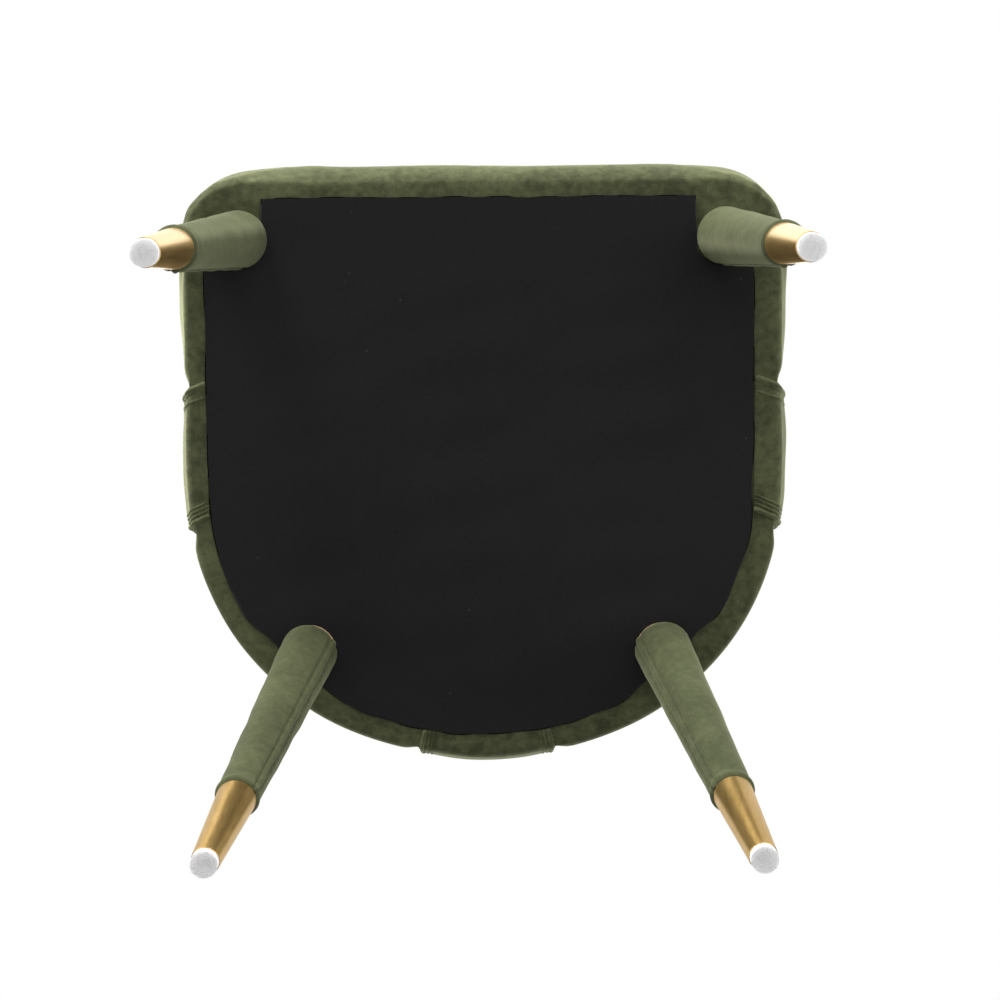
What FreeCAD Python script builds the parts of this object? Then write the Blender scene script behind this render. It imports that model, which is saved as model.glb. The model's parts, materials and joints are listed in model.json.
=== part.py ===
import FreeCAD, Part

import math
import os
import re

import Sketcher

# A dining chair with a D-shaped seat, four splayed legs and an open barrel back.
# Millimetres. +Z is up, -Y is the chair's front and +X its side that is right when it is seen along +Y.
# The origin is on the floor, under the middle of the chair's bounding box.
# Sketches have their own zero in Y at the seat's front edge.

Vector = FreeCAD.Vector
Rotation = FreeCAD.Rotation
Placement = FreeCAD.Placement

# ---------------------------------------------------------------- driving dimensions

DIMENSIONS = {
    # seat outline: two straight sides, rounded front corners, a rear of three arcs
    "seat_front_y": -286.5,
    "seat_half_width": 252.5,
    "seat_depth": 503.0,
    "front_corner_radius": 55.0,
    "side_arc_radius": 225.0,
    "rear_arc_radius": 300.0,
    # seat heights and skins
    "underside_z": 385.0,
    "seat_top_z": 484.0,
    "seat_edge_radius": 26.0,
    "rim_edge_radius": 7.0,
    "fabric": 1.2,
    "rim_turn_in": 36.0,
    "dust_cover_inset": 23.5,
    "dust_cover_thickness": 0.6,
    "dust_notch_half_width": 182.0,
    "dust_notch_depth": 84.0,
    # seat frame
    "rail_inset": 8.0,
    "rail_thickness": 26.0,
    "rail_height": 42.0,
    "front_rail_depth": 60.0,
    "side_rail_end": 272.0,
    "deck_thickness": 12.0,
    # corner blocks: how far each reaches from its leg's top
    "front_block_inwards": 42.0,
    "front_block_outwards": 27.0,
    "front_block_forwards": 21.0,
    "front_block_backwards": 49.0,
    "rear_block_inwards": 38.0,
    "rear_block_outwards": 60.0,
    "rear_block_forwards": 41.0,
    "rear_block_backwards": 60.0,
    # back: a band carried by three posts
    "post_stand_off": 5.0,
    "back_thickness": 42.0,
    "post_thickness": 24.0,
    "shell_thickness": 10.0,
    "strip_thickness": 5.0,
    "strip_margin": 30.0,
    "strip_clearance": 8.0,
    "strip_top_z": 648.0,
    "back_top_z": 790.0,
    "band_bottom_z": 560.0,
    "arm_top_z": 656.0,
    "arm_corner_radius": 46.0,
    "band_full_height_y": 530.0,
    "back_rake": 65.0,
    "back_flare": 24.0,
    "rear_arc_growth": 30.0,
    "post_lean": 15.0,
    "side_post_front": 179.0,
    "side_post_width": 119.0,
    "rear_post_width": 112.0,
    "wall_front": 150.0,
    # legs
    "leg_top_radius": 24.5,
    "leg_ring_radius": 15.8,
    "sleeve_thickness": 2.0,
    "ring_height": 105.0,
    "ring_gap": 0.6,
    "ferrule_top_radius": 14.8,
    "ferrule_foot_radius": 10.4,
    "ferrule_wall": 1.0,
    "ferrule_foot_height": 6.5,
    "taper_spare": 20.0,
    "glide_radius": 9.7,
    "glide_stem_radius": 6.0,
    "glide_stem_length": 12.0,
    "front_leg_top_x": 202.0,
    "front_leg_top_y": 55.0,
    "front_leg_foot_x": 222.0,
    "front_leg_foot_y": 49.0,
    "rear_leg_top_x": 150.0,
    "rear_leg_top_y": 403.0,
    "rear_leg_foot_x": 194.0,
    "rear_leg_foot_y": 470.0,
    # fasteners
    "hanger_bolt_radius": 4.0,
    "hanger_bolt_in_leg": 45.0,
    "hanger_bolt_in_block": 28.0,
    "insert_radius": 6.5,
    "insert_length": 20.0,
    "post_bolt_radius": 3.0,
    "post_bolt_head_radius": 5.5,
    "post_bolt_head": 3.0,
    "post_bolt_spacing": 36.0,
    "post_bolt_height": 22.0,
    "post_bolt_spare": 2.0,
    "rear_bolt_seating": 0.9,
    "washer_radius": 9.0,
    "washer_thickness": 1.5,
    "nut_radius": 5.8,
    "nut_thickness": 5.0,
    "screw_radius": 2.0,
    "screw_head_radius": 4.0,
    "screw_head": 2.0,
    "deck_screw_length": 34.0,
    "front_deck_screw_x": 120.0,
    "side_deck_screw_y_1": 105.0,
    "side_deck_screw_y_2": 175.0,
    "rear_deck_screw_turn": 25.0,
    "front_block_screw_x": 172.0,
    "front_block_screw_y_1": 50.0,
    "front_block_screw_y_2": 88.0,
    "rear_block_screw_x_1": 124.0,
    "rear_block_screw_y_1": 388.0,
    "rear_block_screw_x_2": 176.0,
    "rear_block_screw_y_2": 385.0,
    "band_screw_length": 13.0,
    "band_screw_z_low": 594.0,
    "band_screw_z_high": 628.0,
    "nail_radius": 1.4,
    "nail_length": 24.0,
}

doc = FreeCAD.newDocument("dining_chair")
sheet = doc.addObject("Spreadsheet::Sheet", "Sizes")
LEFT, RIGHT = -1, 1


def fill_sheet():
    """Write every driving dimension to the sheet, with its name as the cell's alias."""
    for row, (name, value) in enumerate(DIMENSIONS.items(), start=1):
        sheet.set(f"A{row}", name)
        sheet.set(f"B{row}", str(value))
        sheet.setAlias(f"B{row}", name)
    doc.recompute()


def bind(target, path, expression):
    """Bind a property to the sheet. The names of cells in the expression need no prefix."""
    def prefixed(match):
        word = match.group(0)
        return f"Sizes.{word}" if word in DIMENSIONS else word
    target.setExpression(path, re.sub(r"[a-z][a-z_0-9]*", prefixed, expression))


def value_of(expression):
    """The number that an expression over the sheet's cells gives."""
    holder = doc.addObject("App::FeaturePython", "Holder")
    holder.addProperty("App::PropertyFloat", "Number")
    bind(holder, "Number", expression)
    holder.recompute()
    number = holder.Number
    doc.removeObject(holder.Name)
    return number


fill_sheet()

# Heights and offsets that several pieces share, as expressions over the sheet.
RAIL_BOTTOM = "(underside_z + fabric)"
RAIL_TOP = "(underside_z + fabric + rail_height)"
DECK_TOP = "(underside_z + fabric + rail_height + deck_thickness)"
LEG_TOP = "(underside_z - dust_cover_thickness)"
RAIL_INNER = "(rail_inset + rail_thickness)"
STRIP_FACE = "(strip_thickness - rail_inset)"

# ---------------------------------------------------------------- sketches


def new_body(name):
    body = doc.addObject("PartDesign::Body", name)
    body.Label = name
    return body


def new_sketch(body, name, role, level="0"):
    """A sketch on one of the body's own origin planes, lifted to a level along the plane's normal.

    Its zero in Y is the seat's front edge.
    """
    sketch = body.newObject("Sketcher::SketchObject", name)
    plane = [item for item in body.Origin.OriginFeatures if item.Role == role][0]
    sketch.AttachmentSupport = (plane, "")
    sketch.MapMode = "FlatFace"
    along_y = {"XY_Plane": "AttachmentOffset.Base.y", "YZ_Plane": "AttachmentOffset.Base.x"}
    if role in along_y:
        bind(sketch, along_y[role], "seat_front_y")
    bind(sketch, "AttachmentOffset.Base.z", level)
    return sketch


def point(x, y):
    return Vector(x, y, 0)


def constrain(sketch, *items):
    return sketch.addConstraint(Sketcher.Constraint(*items))


def dimension(sketch, expression, kind, *items):
    """Add a dimension to a sketch and bind it to the sheet."""
    index = constrain(sketch, kind, *items, value_of(expression))
    bind(sketch, f"Constraints[{index}]", expression)


def close_sketch(sketch):
    result = sketch.solve()
    if result != 0:
        raise RuntimeError(f"{sketch.Name} does not solve: {result}")


def horseshoe(sketch, half, side, rear, centre, front):
    """The outline's two sides and round rear, from the left end to the right end.

    Half is the half width, side and rear the radii of the side and rear arcs, centre the Y of the
    rear arc's centre and front the Y of the two open ends. All are expressions.
    Returns the five elements: left line, left arc, rear arc, right arc, right line.
    """
    w, r1, r2, yc, y0 = (value_of(item) for item in (half, side, rear, centre, front))
    side_x = w - r1
    side_y = yc + math.sqrt((r2 - r1) ** 2 - side_x ** 2)
    turn = math.atan2(side_y - yc, side_x)
    up = Vector(0, 0, 1)
    left_circle = Part.Circle(point(-side_x, side_y), up, r1)
    rear_circle = Part.Circle(point(0, yc), up, r2)
    right_circle = Part.Circle(point(side_x, side_y), up, r1)
    left_line = sketch.addGeometry(Part.LineSegment(point(-w, y0), point(-w, side_y)))
    left_arc = sketch.addGeometry(Part.ArcOfCircle(left_circle, math.pi - turn, math.pi))
    rear_arc = sketch.addGeometry(Part.ArcOfCircle(rear_circle, turn, math.pi - turn))
    right_arc = sketch.addGeometry(Part.ArcOfCircle(right_circle, 0, turn))
    right_line = sketch.addGeometry(Part.LineSegment(point(w, side_y), point(w, y0)))
    constrain(sketch, "Tangent", left_line, 2, left_arc, 2)
    constrain(sketch, "Tangent", left_arc, 1, rear_arc, 2)
    constrain(sketch, "Tangent", rear_arc, 1, right_arc, 2)
    constrain(sketch, "Tangent", right_arc, 1, right_line, 1)
    constrain(sketch, "Vertical", left_line)
    constrain(sketch, "Vertical", right_line)
    constrain(sketch, "Equal", left_arc, right_arc)
    constrain(sketch, "PointOnObject", rear_arc, 3, -2)
    dimension(sketch, side, "Radius", right_arc)
    dimension(sketch, rear, "Radius", rear_arc)
    dimension(sketch, centre, "DistanceY", -1, 1, rear_arc, 3)
    dimension(sketch, half, "DistanceX", -1, 1, right_line, 1)
    dimension(sketch, half, "DistanceX", left_line, 2, -1, 1)
    return left_line, left_arc, rear_arc, right_arc, right_line


def seat_outline(body, name, inset, level):
    """The seat's D-shaped outline, moved inwards by an inset."""
    sketch = new_sketch(body, name, "XY_Plane", level)
    half = f"seat_half_width - {inset}"
    corner = f"front_corner_radius - {inset}"
    left, _, _, _, right = horseshoe(
        sketch, half, f"side_arc_radius - {inset}", f"rear_arc_radius - {inset}",
        "seat_depth - rear_arc_radius", "front_corner_radius")
    w, r, y0 = value_of(half), value_of(corner), value_of("front_corner_radius")
    up = Vector(0, 0, 1)
    right_circle = Part.Circle(point(w - r, y0), up, r)
    left_circle = Part.Circle(point(r - w, y0), up, r)
    right_corner = sketch.addGeometry(Part.ArcOfCircle(right_circle, -math.pi / 2, 0))
    front = sketch.addGeometry(Part.LineSegment(point(w - r, y0 - r), point(r - w, y0 - r)))
    left_corner = sketch.addGeometry(Part.ArcOfCircle(left_circle, math.pi, 1.5 * math.pi))
    constrain(sketch, "Tangent", right, 2, right_corner, 2)
    constrain(sketch, "Tangent", right_corner, 1, front, 1)
    constrain(sketch, "Tangent", front, 2, left_corner, 2)
    constrain(sketch, "Tangent", left_corner, 1, left, 1)
    constrain(sketch, "Horizontal", front)
    constrain(sketch, "Equal", left_corner, right_corner)
    dimension(sketch, corner, "Radius", right_corner)
    dimension(sketch, "front_corner_radius", "DistanceY", -1, 1, right_corner, 3)
    close_sketch(sketch)
    return sketch


def wall_outline(body, name, inner, outer, level, at_top):
    """A horseshoe strip between two offsets from the seat's outline, low down or at the back's top."""
    sketch = new_sketch(body, name, "XY_Plane", level)
    flare = "back_flare" if at_top else "0"
    growth = "rear_arc_growth" if at_top else "0"
    rake = "back_rake" if at_top else "0"
    chains = []
    for offset in (outer, inner):
        chain = horseshoe(
            sketch, f"seat_half_width + {flare} + {offset}", f"side_arc_radius + {flare} + {offset}",
            f"rear_arc_radius + {growth} + {offset}",
            f"seat_depth - rear_arc_radius + {rake} - {growth}", "wall_front")
        chains.append(chain)
    (outer_left, *_, outer_right), (inner_left, *_, inner_right) = chains
    outer_x = value_of(f"seat_half_width + {flare} + {outer}")
    inner_x = value_of(f"seat_half_width + {flare} + {inner}")
    y0 = value_of("wall_front")
    right_end = sketch.addGeometry(Part.LineSegment(point(outer_x, y0), point(inner_x, y0)))
    left_end = sketch.addGeometry(Part.LineSegment(point(-outer_x, y0), point(-inner_x, y0)))
    constrain(sketch, "Coincident", right_end, 1, outer_right, 2)
    constrain(sketch, "Coincident", right_end, 2, inner_right, 2)
    constrain(sketch, "Coincident", left_end, 1, outer_left, 1)
    constrain(sketch, "Coincident", left_end, 2, inner_left, 1)
    constrain(sketch, "Horizontal", right_end)
    constrain(sketch, "Horizontal", left_end)
    dimension(sketch, "wall_front", "DistanceY", -1, 1, right_end, 1)
    dimension(sketch, "wall_front", "DistanceY", -1, 1, left_end, 1)
    close_sketch(sketch)
    return sketch


def band_outline(body, name, margin):
    """The band seen from the side: leaning arm front, round corner, S-curve up to the full height."""
    sketch = new_sketch(body, name, "YZ_Plane", "0")
    lean = math.radians(value_of("post_lean"))
    low = f"band_bottom_z + {margin}"
    high = f"back_top_z - {margin}"
    arm = f"arm_top_z - {margin}"
    radius = f"arm_corner_radius - {margin}"
    start = f"side_post_front + ({low} - underside_z) * tan(post_lean) + {margin} / cos(post_lean)"
    rear = "seat_depth + 2 * back_rake"
    z0, z1, z2, r = value_of(low), value_of(arm), value_of(high), value_of(radius)
    u0, u3, u4 = value_of(start), value_of("band_full_height_y"), value_of(rear)
    # corner arc: it touches the leaning line and the level of the arm's top
    centre_z = z1 - r
    line_u = u0 + (centre_z - z0) * math.tan(lean)
    u1 = line_u + r / math.cos(lean)
    touch = point(u1 - r * math.cos(lean), centre_z + r * math.sin(lean))
    # S-curve: two equal arcs that are level where they start and end
    rise, run = z2 - z1, u3 - u1
    bend = (run ** 2 + rise ** 2) / (4 * rise)
    sweep = 2 * math.atan2(rise, run)
    up = Vector(0, 0, 1)
    corner_circle = Part.Circle(point(u1, centre_z), up, r)
    hollow_circle = Part.Circle(point(u1, z1 + bend), up, bend)
    crest_circle = Part.Circle(point(u3, z2 - bend), up, bend)
    front = sketch.addGeometry(Part.LineSegment(point(u0, z0), touch))
    corner = sketch.addGeometry(Part.ArcOfCircle(corner_circle, math.pi / 2, math.pi - lean))
    hollow = sketch.addGeometry(Part.ArcOfCircle(hollow_circle, -math.pi / 2, sweep - math.pi / 2))
    crest = sketch.addGeometry(Part.ArcOfCircle(crest_circle, math.pi / 2, math.pi / 2 + sweep))
    top = sketch.addGeometry(Part.LineSegment(point(u3, z2), point(u4, z2)))
    back = sketch.addGeometry(Part.LineSegment(point(u4, z2), point(u4, z0)))
    bottom = sketch.addGeometry(Part.LineSegment(point(u4, z0), point(u0, z0)))
    constrain(sketch, "Tangent", front, 2, corner, 2)
    constrain(sketch, "Tangent", corner, 1, hollow, 1)
    constrain(sketch, "Tangent", hollow, 2, crest, 2)
    constrain(sketch, "Tangent", crest, 1, top, 1)
    constrain(sketch, "Coincident", top, 2, back, 1)
    constrain(sketch, "Coincident", back, 2, bottom, 1)
    constrain(sketch, "Coincident", bottom, 2, front, 1)
    constrain(sketch, "Horizontal", top)
    constrain(sketch, "Vertical", back)
    constrain(sketch, "Horizontal", bottom)
    constrain(sketch, "Vertical", corner, 3, corner, 1)
    constrain(sketch, "Equal", hollow, crest)
    dimension(sketch, radius, "Radius", corner)
    dimension(sketch, start, "DistanceX", -1, 1, front, 1)
    dimension(sketch, low, "DistanceY", -1, 1, front, 1)
    dimension(sketch, arm, "DistanceY", -1, 1, corner, 1)
    dimension(sketch, high, "DistanceY", -1, 1, crest, 1)
    dimension(sketch, "band_full_height_y", "DistanceX", -1, 1, crest, 1)
    dimension(sketch, rear, "DistanceX", -1, 1, back, 1)
    lean_index = constrain(sketch, "Angle", front, math.pi / 2 - lean)
    bind(sketch, f"Constraints[{lean_index}]", "90 - post_lean")
    close_sketch(sketch)
    return sketch


# ---------------------------------------------------------------- solids


def pad(body, sketch, length, symmetric=False):
    feature = body.newObject("PartDesign::Pad", f"{body.Name}_pad")
    feature.Profile = sketch
    feature.SideType = "Symmetric" if symmetric else "One side"
    bind(feature, "Length", length)
    return feature


def round_edges(body, base, level, radius):
    """Round the edges of a feature that lie at one level."""
    doc.recompute()
    height = value_of(level)
    names = []
    for index, edge in enumerate(base.Shape.Edges, start=1):
        box = edge.BoundBox
        if abs(box.ZMin - height) < 0.01 and abs(box.ZMax - height) < 0.01:
            names.append(f"Edge{index}")
    feature = body.newObject("PartDesign::Fillet", f"{body.Name}_fillet")
    feature.Base = (base, names)
    bind(feature, "Radius", radius)
    return feature


def seat_prism(name, inset, bottom, top, top_radius=None, bottom_radius=None):
    """An upright solid with the seat's outline, with rounded edges where a radius is given."""
    body = new_body(name)
    feature = pad(body, seat_outline(body, f"{name}_outline", inset, bottom), f"{top} - {bottom}")
    if top_radius:
        feature = round_edges(body, feature, top, top_radius)
    if bottom_radius:
        feature = round_edges(body, feature, bottom, bottom_radius)
    return body


def wall(name, inner, outer):
    """The back's horseshoe wall between two offsets: upright beside the seat, flared and raked above it."""
    body = new_body(name)
    low = wall_outline(body, f"{name}_foot", inner, outer, "underside_z", False)
    pad(body, low, "seat_top_z - underside_z")
    middle = wall_outline(body, f"{name}_waist", inner, outer, "seat_top_z", False)
    high = wall_outline(body, f"{name}_crown", inner, outer, "back_top_z", True)
    loft = body.newObject("PartDesign::AdditiveLoft", f"{name}_loft")
    loft.Profile = middle
    loft.Sections = [high]
    loft.Ruled = True
    return body


def band_prism(name, margin):
    """A solid right across the chair with the band's side view as its section."""
    body = new_body(name)
    pad(body, band_outline(body, f"{name}_outline", margin), "3 * seat_half_width", symmetric=True)
    return body


def box(name, low, high):
    """A box between two corners of three expressions each; Y counts from the seat's front edge."""
    solid = doc.addObject("Part::Box", name)
    for size, axis in (("Length", 0), ("Width", 1), ("Height", 2)):
        bind(solid, size, f"({high[axis]}) - ({low[axis]})")
    bind(solid, "Placement.Base.x", low[0])
    bind(solid, "Placement.Base.y", f"seat_front_y + {low[1]}")
    bind(solid, "Placement.Base.z", low[2])
    return solid


def cylinder(name, radius, length, placement):
    solid = doc.addObject("Part::Cylinder", name)
    bind(solid, "Radius", radius)
    bind(solid, "Height", length)
    solid.Placement = placement
    return solid


def cone(name, radius_low, radius_high, length, placement):
    solid = doc.addObject("Part::Cone", name)
    bind(solid, "Radius1", radius_low)
    bind(solid, "Radius2", radius_high)
    bind(solid, "Height", length)
    solid.Placement = placement
    return solid


def combine(kind, name, shapes):
    """A fuse, common or compound of several objects. Refining is left off, because it can fail."""
    feature = doc.addObject(f"Part::{kind}", name)
    if kind == "Compound":
        feature.Links = shapes
    else:
        feature.Shapes = shapes
        feature.Refine = False
    return feature


def cut(name, base, tools):
    """The base without its tools, taken away one after the other."""
    feature = base
    for index, tool in enumerate(tools):
        step = doc.addObject("Part::Cut", f"{name}_{index}")
        step.Base = feature
        step.Tool = tool
        step.Refine = False
        feature = step
    return feature


def common(name, *shapes):
    return combine("MultiCommon", name, list(shapes))


pieces = []


def piece(feature, label):
    """Name a finished sub-part, whose label names its file."""
    feature.Label = label
    pieces.append(feature)
    return feature


SIDES = {"left": LEFT, "right": RIGHT}
WIDE = "(2 * seat_half_width)"
FAR = "(2 * seat_depth)"


def half_space(name, sign):
    """A box that holds everything on one side of the chair's middle plane."""
    low, high = (f"-{WIDE}", "0") if sign < 0 else ("0", WIDE)
    return box(name, [low, "-seat_depth", "-seat_depth"], [high, FAR, FAR])


# ---------------------------------------------------------------- legs


class Leg:
    """One leg: its name, the placement of its axis (zero at the foot, +Z up the leg) and its length."""

    def __init__(self, end, side, sign):
        self.name = f"{end}_{side}"
        top_x = sign * value_of(f"{end}_leg_top_x")
        top = Vector(top_x, value_of(f"{end}_leg_top_y"), value_of(LEG_TOP))
        foot = Vector(sign * value_of(f"{end}_leg_foot_x"), value_of(f"{end}_leg_foot_y"), 0)
        shift = Vector(0, value_of("seat_front_y"), 0)
        self.along = top - foot
        self.length = self.along.Length
        self.turn = Rotation(Vector(0, 0, 1), self.along)
        self.foot = foot + shift

    def at(self, distance):
        """The placement at a distance up the leg's axis."""
        return Placement(self.foot + self.turn.multVec(Vector(0, 0, distance)), self.turn)


def make_leg(leg, between_floor_and_seat):
    """The wooden core, velvet sleeve, ferrule and glide of one leg."""
    ring = value_of("ring_height")
    ferrule_foot = value_of("ferrule_foot_height")
    # the taper goes on above the seat's underside, so that the top is cut level
    long = f"{leg.length} + taper_spare - ring_height"
    grow = f"(leg_top_radius - leg_ring_radius) * ({long}) / ({leg.length} - ring_height)"
    sleeve_out = cone(
        f"sleeve_out_{leg.name}", "leg_ring_radius", f"leg_ring_radius + {grow}", long, leg.at(ring))
    core_upper = cone(
        f"core_upper_{leg.name}", "leg_ring_radius - sleeve_thickness",
        f"leg_ring_radius - sleeve_thickness + {grow}", long, leg.at(ring))
    core_lower = cone(
        f"core_lower_{leg.name}", "ferrule_foot_radius - ferrule_wall", "ferrule_top_radius - ferrule_wall",
        "ring_height - ferrule_foot_height", leg.at(ferrule_foot))
    ferrule_out = cone(
        f"ferrule_out_{leg.name}", "ferrule_foot_radius", "ferrule_top_radius",
        "ring_height - ferrule_foot_height - ring_gap", leg.at(ferrule_foot))
    stem = cylinder(
        f"glide_stem_{leg.name}", "glide_stem_radius", "glide_stem_length", leg.at(ferrule_foot))
    disc = cylinder(
        f"glide_disc_{leg.name}", "glide_radius", "2 * ferrule_foot_height", leg.at(-ferrule_foot))
    nail = cylinder(f"nail_{leg.name}", "nail_radius", "nail_length", leg.at(ferrule_foot / 2))
    bolt = cylinder(
        f"hanger_bolt_{leg.name}", "hanger_bolt_radius", "hanger_bolt_in_leg + hanger_bolt_in_block",
        leg.at(leg.length - value_of("hanger_bolt_in_leg")))
    sleeve = common(f"sleeve_level_{leg.name}", sleeve_out, between_floor_and_seat)
    piece(cut(f"sleeve_{leg.name}", sleeve, [core_upper]), f"leg_sleeve_{leg.name}")
    core = combine("MultiFuse", f"core_whole_{leg.name}", [core_upper, core_lower])
    core_level = common(f"core_level_{leg.name}", core, between_floor_and_seat)
    piece(cut(f"core_{leg.name}", core_level, [stem, nail, bolt]), f"leg_core_{leg.name}")
    piece(cut(f"ferrule_{leg.name}", ferrule_out, [core_lower]), f"ferrule_{leg.name}")
    glide = combine("MultiFuse", f"glide_whole_{leg.name}", [disc, stem])
    glide_level = common(f"glide_level_{leg.name}", glide, between_floor_and_seat)
    piece(cut(f"glide_{leg.name}", glide_level, [nail]), f"glide_{leg.name}")
    return nail, bolt


def make_legs():
    between = box("between_floor_and_seat", [f"-{WIDE}", "-seat_depth", "0"], [WIDE, FAR, LEG_TOP])
    legs = [Leg(end, side, sign) for end in ("front", "rear") for side, sign in SIDES.items()]
    nails, bolts = [], []
    for leg in legs:
        nail, bolt = make_leg(leg, between)
        nails.append(nail)
        bolts.append(bolt)
    piece(combine("Compound", "nails", nails), "glide_nails")
    piece(combine("Compound", "hanger_bolts_all", bolts), "hanger_bolts")
    return legs, bolts


# ---------------------------------------------------------------- seat frame


def make_frame(legs, hanger_bolts, post_bolts, deck_screws):
    """Four rails, four corner blocks with threaded inserts, and the deck."""
    rail_zone = seat_prism("rail_zone", "rail_inset", RAIL_BOTTOM, RAIL_TOP)
    cavity = seat_prism("cavity", RAIL_INNER, RAIL_BOTTOM, RAIL_TOP)
    ring = cut("ring", rail_zone, [cavity])
    front_zone = box("front_zone", [f"-{WIDE}", "-seat_depth", "0"], [WIDE, "front_rail_depth", FAR])
    rear_zone = box("rear_zone", [f"-{WIDE}", "side_rail_end", "0"], [WIDE, FAR, FAR])
    fasteners = [post_bolts, deck_screws]
    for end, zone in (("front", front_zone), ("rear", rear_zone)):
        blank = common(f"{end}_rail_blank", ring, zone)
        piece(cut(f"{end}_rail_drilled", blank, fasteners), f"{end}_rail")
    for side, sign in SIDES.items():
        middle = cut(f"side_rail_zone_{side}", half_space(f"half_{side}", sign), [front_zone, rear_zone])
        blank = common(f"side_rail_blank_{side}", ring, middle)
        piece(cut(f"side_rail_drilled_{side}", blank, fasteners), f"side_rail_{side}")
    inserts = []
    above = box("above_rail_bottom", [f"-{WIDE}", "-seat_depth", RAIL_BOTTOM], [WIDE, FAR, RAIL_TOP])
    for leg in legs:
        end, side = leg.name.split("_")
        x, y, block = f"{end}_leg_top_x", f"{end}_leg_top_y", f"{end}_block"
        near = [f"{x} - {block}_inwards", f"{y} - {block}_forwards", RAIL_BOTTOM]
        far = [f"{x} + {block}_outwards", f"{y} + {block}_backwards", RAIL_TOP]
        if SIDES[side] == LEFT:
            near[0], far[0] = f"-({far[0]})", f"-({near[0]})"
        blank = common(f"block_blank_{leg.name}", cavity, box(f"block_box_{leg.name}", near, far))
        insert_whole = cylinder(
            f"insert_whole_{leg.name}", "insert_radius", "insert_length", leg.at(leg.length))
        insert_level = common(f"insert_level_{leg.name}", insert_whole, above)
        inserts.append(cut(f"insert_{leg.name}", insert_level, hanger_bolts))
        tools = [insert_whole, deck_screws] + hanger_bolts
        piece(cut(f"block_{leg.name}", blank, tools), f"corner_block_{leg.name}")
    piece(combine("Compound", "inserts", inserts), "insert_nuts")
    deck = seat_prism("deck_blank", "rail_inset", RAIL_TOP, DECK_TOP)
    piece(cut("deck", deck, [deck_screws]), "seat_deck")


def make_deck_screws():
    """Countersunk screws down through the deck into the rails and the corner blocks."""
    middle = "(rail_inset + rail_thickness / 2)"
    side = value_of(f"seat_half_width - {middle}")
    front = value_of(middle)
    rear_radius = value_of(f"rear_arc_radius - {middle}")
    rear_centre = value_of("seat_depth - rear_arc_radius")
    rear_turn = math.radians(value_of("rear_deck_screw_turn"))
    spots = [(0, front), (0, rear_centre + rear_radius)]
    for sign in SIDES.values():
        spots.append((sign * value_of("front_deck_screw_x"), front))
        spots += [(sign * side, value_of(f"side_deck_screw_y_{k}")) for k in (1, 2)]
        rear_x, rear_y = rear_radius * math.sin(rear_turn), rear_radius * math.cos(rear_turn)
        spots.append((sign * rear_x, rear_centre + rear_y))
        block_x = value_of("front_block_screw_x")
        spots += [(sign * block_x, value_of(f"front_block_screw_y_{k}")) for k in (1, 2)]
        for k in (1, 2):
            spots.append((sign * value_of(f"rear_block_screw_x_{k}"), value_of(f"rear_block_screw_y_{k}")))
    screws = []
    for index, (x, y) in enumerate(spots):
        world_y = y + value_of("seat_front_y")
        tip = Placement(Vector(x, world_y, value_of(f"{DECK_TOP} - deck_screw_length")), Rotation())
        seat = Placement(Vector(x, world_y, value_of(f"{DECK_TOP} - screw_head")), Rotation())
        shank = cylinder(f"deck_shank_{index}", "screw_radius", "deck_screw_length - screw_head", tip)
        head = cone(f"deck_head_{index}", "screw_radius", "screw_head_radius", "screw_head", seat)
        screws.append(combine("MultiFuse", f"deck_screw_{index}", [shank, head]))
    return piece(combine("Compound", "deck_screws_all", screws), "deck_screws")


# ---------------------------------------------------------------- back


def post_zone(side, margin):
    """The region that one post's pieces are cut to, from the underside to the band."""
    level_low = f"underside_z + {margin}"
    level_high = f"band_bottom_z - {margin}"
    low, high = [f"-{WIDE}", "-seat_depth", level_low], [WIDE, FAR, level_high]
    slab = box(f"post_slab_{side}_{margin}", low, high)
    return common(f"post_zone_{side}_{margin}", slab, post_column(side, margin))


def post_column(side, margin):
    """An endless column with one post's width, leaning back on the sides and upright at the rear."""
    name = f"post_column_{side}_{margin}"
    if side == "rear":
        half = f"(rear_post_width / 2 - {margin})"
        return box(name, [f"-{half}", "seat_depth / 2", "0"], [half, FAR, FAR])
    column = doc.addObject("Part::Box", name)
    bind(column, "Length", WIDE)
    bind(column, "Width", f"side_post_width * cos(post_lean) - 2 * {margin}")
    bind(column, "Height", FAR)
    lean = Rotation(Vector(1, 0, 0), -value_of("post_lean"))
    inward = lean.multVec(Vector(0, value_of(margin), -value_of("seat_depth / 2")))
    x = 0 if SIDES[side] == RIGHT else -value_of(WIDE)
    corner = Vector(x, value_of("seat_front_y + side_post_front"), value_of("underside_z"))
    column.Placement = Placement(corner + inward, lean)
    return column


POSTS = ("left", "right", "rear")


def wall_point(side, along, height, offset):
    """A point on the wall's surface and the outward direction there.

    Along is the distance from the post's middle line, height is above the floor and offset is
    outwards from the seat's outline.
    """
    above = max(0, height - value_of("seat_top_z")) / value_of("back_top_z - seat_top_z")
    rises = height > value_of("seat_top_z")
    front = value_of("seat_front_y")
    if side == "rear":
        slope = math.atan(value_of("back_rake / (back_top_z - seat_top_z)")) if rises else 0
        y = front + value_of("seat_depth") + above * value_of("back_rake") + offset
        return Vector(along, y, height), Vector(0, math.cos(slope), -math.sin(slope))
    sign = SIDES[side]
    slope = math.atan(value_of("back_flare / (back_top_z - seat_top_z)")) if rises else 0
    x = value_of("seat_half_width") + above * value_of("back_flare") + offset
    lean = math.tan(math.radians(value_of("post_lean")))
    middle = front + value_of("side_post_front + side_post_width / 2")
    y = middle + (height - value_of("underside_z")) * lean + along
    return Vector(sign * x, y, height), Vector(sign * math.cos(slope), 0, -math.sin(slope))


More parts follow.
